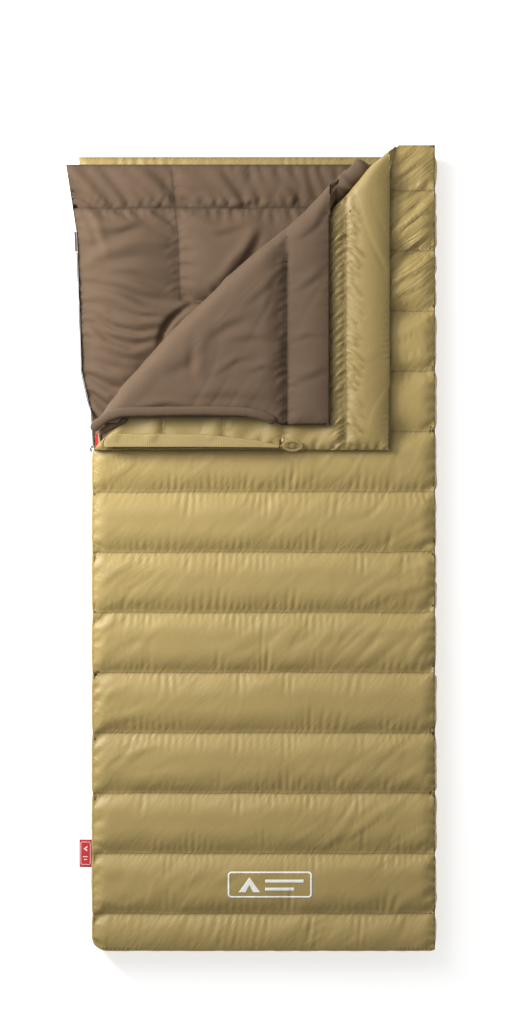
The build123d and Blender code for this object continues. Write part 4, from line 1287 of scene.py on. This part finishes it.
def strip(name, xs, ys, z, thick, material, body, slot_name, node, taper=None, seed=0, wave=0.0012, over=None):
    """A flat flap of cloth over a rectangle, with a hemmed edge and slight waves."""
    x, y = grid_steps(xs[0], xs[1], 0.005), grid_steps(ys[0], ys[1], 0.004)
    X, Y = np.meshgrid(x, y)
    if taper is not None:
        Y = taper(X, Y)
    ripple = noise_at(X / 0.05, Y / 0.08, seed) * wave
    if over is not None:
        z = np.maximum(z, height_at(over, X, Y) + thick)
    inset = np.minimum(np.minimum(X - X.min(), X.max() - X), np.minimum(Y - Y.min(0), Y.max(0) - Y))
    hem = 0.7 + 0.3 * np.clip(inset / 0.004, 0, 1)
    faces = []
    for sign, flip in ((1, False), (-1, True)):
        edge = np.clip(inset / 0.0015, 0, 1)
        Z = z + ripple + sign * thick / 2 * edge * hem
        faces.append((plain_grid(np.dstack([X, Y, Z]), X, Y), 0, flip, []))
    return tie(cloth(name, faces, material), body, slot_name, node)


band_low, band_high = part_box("outer_flap_draft_flap")


def tapered(X, Y):
    """The ribbed band narrows to a point at its free end."""
    full = (Y - band_low.y) / (band_high.y - band_low.y)
    width = (band_high.y - band_low.y) * np.interp(X, [X.min(), band_low.x, -0.15, -0.02, band_high.x],
                                                   [0.5, 1.0, 0.95, 0.55, 0.16])
    return band_low.y + full * width


band_x = (band_low.x - 0.018, band_high.x)
band = strip("outer_ribbed_band", band_x, (band_low.y, band_high.y), band_low.z + 0.0006, 0.0020,
             RIBBED, "outer_corner", "khaki_lining", "outer_flap_draft_flap", taper=tapered, seed=121, over=flap_lining)
draft_low, draft_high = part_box("outer_draft_flap")
draft = strip("outer_draft_strip", (draft_low.x, draft_high.x), (draft_low.y, draft_high.y),
              (draft_low.z + draft_high.z) / 2, 0.0018, RIBBED, "bag", "khaki_lining", "outer_draft_flap", seed=131,
              wave=0.0003)
tube_low, tube_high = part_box("inner_flap_draft_tube")
tube_z = (tube_low.z + tube_high.z) / 2
tube_y = tube_low.y + 0.004
tube("inner_folded_draft_tube",
     [(tube_high.x, tube_y - 0.027, tube_z - 0.008), (tube_high.x - 0.03, tube_y - 0.013, tube_z - 0.002),
      (tube_high.x - 0.07, tube_y - 0.003, tube_z), (-0.15, tube_y, tube_z), (-0.28, tube_y - 0.002, tube_z),
      (tube_low.x, tube_y - 0.003, tube_z), (tube_low.x - 0.028, tube_y - 0.011, tube_z - 0.004),
      (tube_low.x - 0.046, tube_y - 0.022, tube_z - 0.010)],
     0.0115, 0.0052, BROWN, 141, "inner_corner", "brown_lining", "inner_flap_draft_tube", fill=0.7)
# The hem's tip curls down to the zip's end with a fold inside it.
curls = (
    ("inner_hem_tip", 0.0112, 0.0058, 171,
     ((-0.020, -0.007, -0.003), (-0.042, -0.018, -0.008), (-0.064, -0.034, -0.020), (-0.0735, -0.049, -0.036))),
    ("inner_tip_fold", 0.0105, 0.0085, 181,
     ((0.012, -0.016, -0.024), (-0.028, -0.036, -0.034), (-0.056, -0.053, -0.048))),
)
for name, half_wide, half_high, seed, steps in curls:
    curl = tube(name, [(tube_low.x + x, tube_y + y, tube_z + z) for x, y, z in steps], half_wide, half_high, BROWN,
                seed, "bag", "brown_lining", None, fill=0.6, piping=False, uneven=0.12, end_round=0.012)
    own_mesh(curl)
# The inner bag's padded hem bunches up between the two creases.
between_c = (INNER_C + OUTER_C) / 2
bunch = tube("inner_hem_bunch", [
    (x, x + between_c + shift, z) for x, shift, z in
    ((0.148, 0.004, 0.072), (0.175, 0.012, 0.077), (0.205, 0.014, 0.081), (0.235, 0.011, 0.081), (0.258, 0.006, 0.077))
], 0.0220, 0.0185, BROWN, 161, "bag", "brown_lining", None, fill=0.6, piping=False, uneven=0.30, end_round=0.022)
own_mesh(bunch)
root_low, root_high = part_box("inner_draft_tube")
root_x, _, root_z = middle_of("inner_draft_tube")
tube("inner_bag_draft_tube", [(root_x, root_low.y, root_z), (root_x, 0, root_z), (root_x, root_high.y, root_z)],
     0.0115, 0.0048, BROWN, 151, "bag", "brown_lining", "inner_draft_tube", fill=0.7)


# ---- pull loop, end tab and label ----
def loop(name, centre, half, section, material, body, slot_name, node, seed):
    """A ring of webbing, laid flat with a slight twist."""
    count, turns = 64, 10
    a = np.linspace(0, 2 * math.pi, count + 1)[None, :]
    b = np.linspace(0, 2 * math.pi, turns + 1)[:, None]
    wave = 0.0006 * np.sin(2 * a + seed)
    across = section[0] * np.sign(np.cos(b)) * np.abs(np.cos(b)) ** 0.6
    up = section[1] * np.sign(np.sin(b)) * np.abs(np.sin(b)) ** 0.6
    point = np.where(np.cos(a) > 0, 1.0 + 0.10 * np.cos(a) ** 6, 1.0)
    X = centre[0] + (half[0] * point + across) * np.cos(a)
    Y = centre[1] + (half[1] + across) * np.sin(a)
    Z = centre[2] + up + wave
    U, V = np.meshgrid(a[0] * half[0], b[:, 0] * section[0])
    return tie(cloth(name, [plain_grid(np.dstack([X, Y, Z]), U, V)], material, weld=0.00002), body, slot_name, node)


loop_low, loop_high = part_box("outer_flap_pull_loop")
loop_x, loop_y, loop_z = middle_of("outer_flap_pull_loop")
loop("outer_webbing_loop", (loop_x - 0.002, loop_y, loop_z),
     ((loop_high.x - loop_low.x) / 2 - 0.0045, (loop_high.y - loop_low.y) / 2 - 0.0035), (0.0032, 0.0009), WEBBING,
     "outer_corner", "olive_tape", "outer_flap_pull_loop", 1.0)

tab_y = (inner_stop + 0.004, inner_stop + 0.052)
tab_edge = [spread_left(in_low.x, y) for y in np.linspace(tab_y[0], tab_y[1], 12)]
tab_grid = ribbon(run_along(tab_edge), [
    (0.0006, bed_low.z + 0.003), (0.003, bed_low.z + 0.0026), (0.0052, bed_low.z + 0.005),
    (0.006, bed_middle), (0.0052, bed_high.z - 0.005), (0.003, bed_high.z - 0.0026),
    (0.0006, bed_high.z - 0.003), (0.0006, bed_low.z + 0.003)])
tie(cloth("inner_zip_end_cover", [tab_grid], BROWN_TAPE), "bag", "brown_tape", "inner_zip_end_tab")

# A sewn-in side label: a folded red tab with a pale border and a plain tent sign.
label_low, label_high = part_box("side_label")


def label_z(x, y):
    """The label droops a little towards its free end."""
    out = (label_high.x - x) / (label_high.x - label_low.x)
    return (label_low.z + label_high.z) / 2 + 0.002 - 0.006 * out ** 2


def patch(corners, step, height, lift):
    """A four-sided patch of cloth or ink that follows a height, as a grid."""
    a, b, c, d = (np.array(p, float) for p in corners)
    n = max(1, int(max(np.hypot(*(b - a)), np.hypot(*(c - d))) / step))
    m = max(1, int(max(np.hypot(*(d - a)), np.hypot(*(c - b))) / step))
    s, t = np.meshgrid(np.linspace(0, 1, n + 1), np.linspace(0, 1, m + 1))
    s, t = s[..., None], t[..., None]
    XY = (a * (1 - s) + b * s) * (1 - t) + (d * (1 - s) + c * s) * t
    X, Y = XY[..., 0], XY[..., 1]
    return plain_grid(np.dstack([X, Y, height(X, Y) + lift]), X, Y)


def rectangle(x0, y0, x1, y1):
    return [(x0, y0), (x1, y0), (x1, y1), (x0, y1)]


def frame_ring(centre, half, radius, line, height, lift, per_corner=10):
    """A rounded rectangular line as a closed strip."""
    def outline(grow):
        r = radius + grow
        ring = []
        for quarter, (sx, sy) in enumerate(((1, 1), (-1, 1), (-1, -1), (1, -1))):
            cx, cy = sx * (half[0] - radius), sy * (half[1] - radius)
            for a in np.linspace(0, math.pi / 2, per_corner) + quarter * math.pi / 2:
                ring.append((centre[0] + cx + r * math.cos(a), centre[1] + cy + r * math.sin(a)))
        return np.array(ring + ring[:1])
    rings = [outline(grow) for grow in (-line, -line / 2, 0.0)]
    at = arc_length(rings[-1])
    along = np.linspace(0, at[-1], int(at[-1] / 0.002))
    XY = np.array([at_lengths(along, at, ring) for ring in rings])
    X, Y = XY[..., 0], XY[..., 1]
    return plain_grid(np.dstack([X, Y, height(X, Y) + lift]), X, Y)


def solid(obj, thickness):
    """Gives a sheet of cloth or ink its thickness."""
    modifier = obj.modifiers.new("thickness", "SOLIDIFY")
    modifier.thickness = thickness
    modifier.offset = -1
    depsgraph = bpy.context.evaluated_depsgraph_get()
    mesh = bpy.data.meshes.new_from_object(obj.evaluated_get(depsgraph))
    obj.modifiers.clear()
    obj.data = mesh
    return obj


def tent(centre, size, turned=False):
    """Two slanting bars that meet at the top, as a plain tent sign."""
    cx, cy = centre
    shape = [[(-1, -0.66), (-0.34, -0.66), (0, 0.0), (0, 0.74)], [(0.34, -0.66), (1, -0.66), (0, 0.74), (0, 0.0)]]
    if turned:
        shape = [[(-y, x) for x, y in bar] for bar in shape]
    return [[(cx + x * size, cy + y * size) for x, y in bar] for bar in shape]


label_middle = middle_of("side_label")
label_centre = (label_middle[0] - 0.001, label_middle[1])
label_sheet = patch(rectangle(label_low.x, label_low.y, label_high.x, label_high.y), 0.003, label_z, 0.0)
label = solid(cloth("side_label_tab", [label_sheet], RED_CLOTH), 0.0009)
tie(label, "bag", "red_label", "side_label")
INK_LIFT = 0.00035
label_lines = [frame_ring(label_centre, (0.0125, 0.0285), 0.004, 0.0014, label_z, INK_LIFT)]
label_lines += [patch(bar, 0.003, label_z, INK_LIFT)
                for bar in tent((label_centre[0], label_centre[1] + 0.011), 0.0075, turned=True)]
for shift, wide in ((-0.010, 0.006), (-0.017, 0.004)):
    x0, y0 = label_centre[0] - wide, label_centre[1] + shift
    label_lines.append(patch(rectangle(x0, y0, x0 + 2 * wide, y0 + 0.0025), 0.003, label_z, INK_LIFT))
sign = solid(cloth("side_label_sign", label_lines, WHITE_THREAD), 0.0004)
tie(sign, "bag", "white_print")

# ---- printed mark ----
mark_low, mark_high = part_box("printed_mark")
mark_centre = middle_of("printed_mark")[:2]
mark_half = ((mark_high.x - mark_low.x) / 2, (mark_high.y - mark_low.y) / 2)


def on_top(x, y):
    return height_at(shell_grid, x, y)


PRINT_LIFT = 0.0005
mark = [frame_ring(mark_centre, mark_half, 0.010, 0.005, on_top, PRINT_LIFT)]
mark += [patch(bar, 0.002, on_top, PRINT_LIFT) for bar in tent((mark_centre[0] - 0.051, mark_centre[1] - 0.001), 0.027)]
for cx, cy, wide in ((0.036, 0.009, 0.096), (0.024, -0.011, 0.072)):
    x0, x1 = mark_centre[0] + cx - wide / 2, mark_centre[0] + cx + wide / 2
    y0, y1 = mark_centre[1] + cy - 0.004, mark_centre[1] + cy + 0.004
    mark.append(patch(rectangle(x0, y0, x1, y1), 0.002, on_top, PRINT_LIFT))
ink = solid(cloth("printed_tent_mark", mark, WHITE_INK), 0.0003)
tie(ink, "bag", "white_print", "printed_mark")

# ---- stitching ----
def beside(c, back):
    """Keeps points at least this far on the root side of a crease."""
    return lambda x, y: y < x + c - back * math.sqrt(2)


past_crease = {c: beside(c, BACK) for c in (OUTER_C, INNER_C)}
stitch_slots = (
    ("outer_top_stitches", KHAKI_THREAD, "bag", "khaki_shell",
     [seam_line(shell_grid, row=s, keep=beside(OUTER_C, 0.002)) for s in seam_lines]),
    ("outer_flap_stitches", KHAKI_THREAD, "outer_corner", "khaki_lining",
     [seam_line(flap_lining, col=s, keep=past_crease[OUTER_C]) for s in flap_seams]),
    ("inner_flap_stitches", BROWN_THREAD, "inner_corner", "brown_lining",
     [seam_line(inner_flap_lining, col=inner_hem_x, keep=past_crease[INNER_C])]),
    ("inner_bottom_stitches", BROWN_THREAD, "bag", "brown_lining",
     [seam_line(bed_lining, row=bed_hem),
      seam_line(bed_lining, col=bed_seam_x, keep=lambda x, y: y > bed_seam_y),
      seam_line(bed_lining, row=bed_seam_y, keep=lambda x, y: x > bed_seam_x + 0.04)]),
)
for name, material, body, slot_name, lines in stitch_slots:
    tie(stitching(name, [line for line in lines if len(line) > 2], material), body, slot_name)


# ---- studio ----
VIEW_HEIGHT = 2.544
VIEW_CENTRE = (-0.0260, 0.0881)


def look_down():
    """A long lens straight above the bag, with the head at the top of the picture."""
    camera = bpy.data.objects.new("camera", bpy.data.cameras.new("camera"))
    bpy.context.scene.collection.objects.link(camera)
    camera.data.lens = 200
    camera.data.sensor_width = 36
    distance = VIEW_HEIGHT * camera.data.lens / camera.data.sensor_width
    camera.location = (*VIEW_CENTRE, distance + 0.09)
    camera.data.clip_end = distance * 3
    camera.data.dof.use_dof = False
    bpy.context.scene.camera = camera


def lamp(name, place, target, size, power):
    light = bpy.data.lights.new(name, "AREA")
    light.shape = "RECTANGLE"
    light.size, light.size_y = size
    light.energy = power
    obj = bpy.data.objects.new(name, light)
    bpy.context.scene.collection.objects.link(obj)
    obj.location = place
    obj.rotation_euler = (Vector(target) - Vector(place)).to_track_quat("-Z", "Y").to_euler()


look_down()
lamp("key", (-1.75, 1.25, 1.25), (0, 0, 0), (1.3, 0.9), 84)
lamp("soft_top", (-1.4, 1.4, 3.0), (-0.3, 0.2, 0), (2.0, 2.0), 38)
world = bpy.data.worlds.new("studio")
world.use_nodes = True
world.node_tree.nodes["Background"].inputs["Color"].default_value = (1, 1, 1, 1)
world.node_tree.nodes["Background"].inputs["Strength"].default_value = 0.36
bpy.context.scene.world = world
bpy.context.scene.view_settings.view_transform = "Standard"

floor_mesh = bpy.data.meshes.new("floor")
FLOOR_HALF, FLOOR_Z = 30, -0.0005
floor_corners = [(FLOOR_HALF * x, FLOOR_HALF * y, FLOOR_Z) for x, y in ((-1, -1), (1, -1), (1, 1), (-1, 1))]
floor_mesh.from_pydata(floor_corners, [], [(0, 1, 2, 3)])
floor = bpy.data.objects.new("floor", floor_mesh)
bpy.context.scene.collection.objects.link(floor)
floor_nodes = Nodes("floor_paper")
floor_nodes.surface(Base_Color=(0.93, 0.93, 0.93, 1), Roughness=0.8, Emission_Color=(1, 1, 1, 1),
                    Emission_Strength=0.55)
floor_mesh.materials.append(floor_nodes.material)
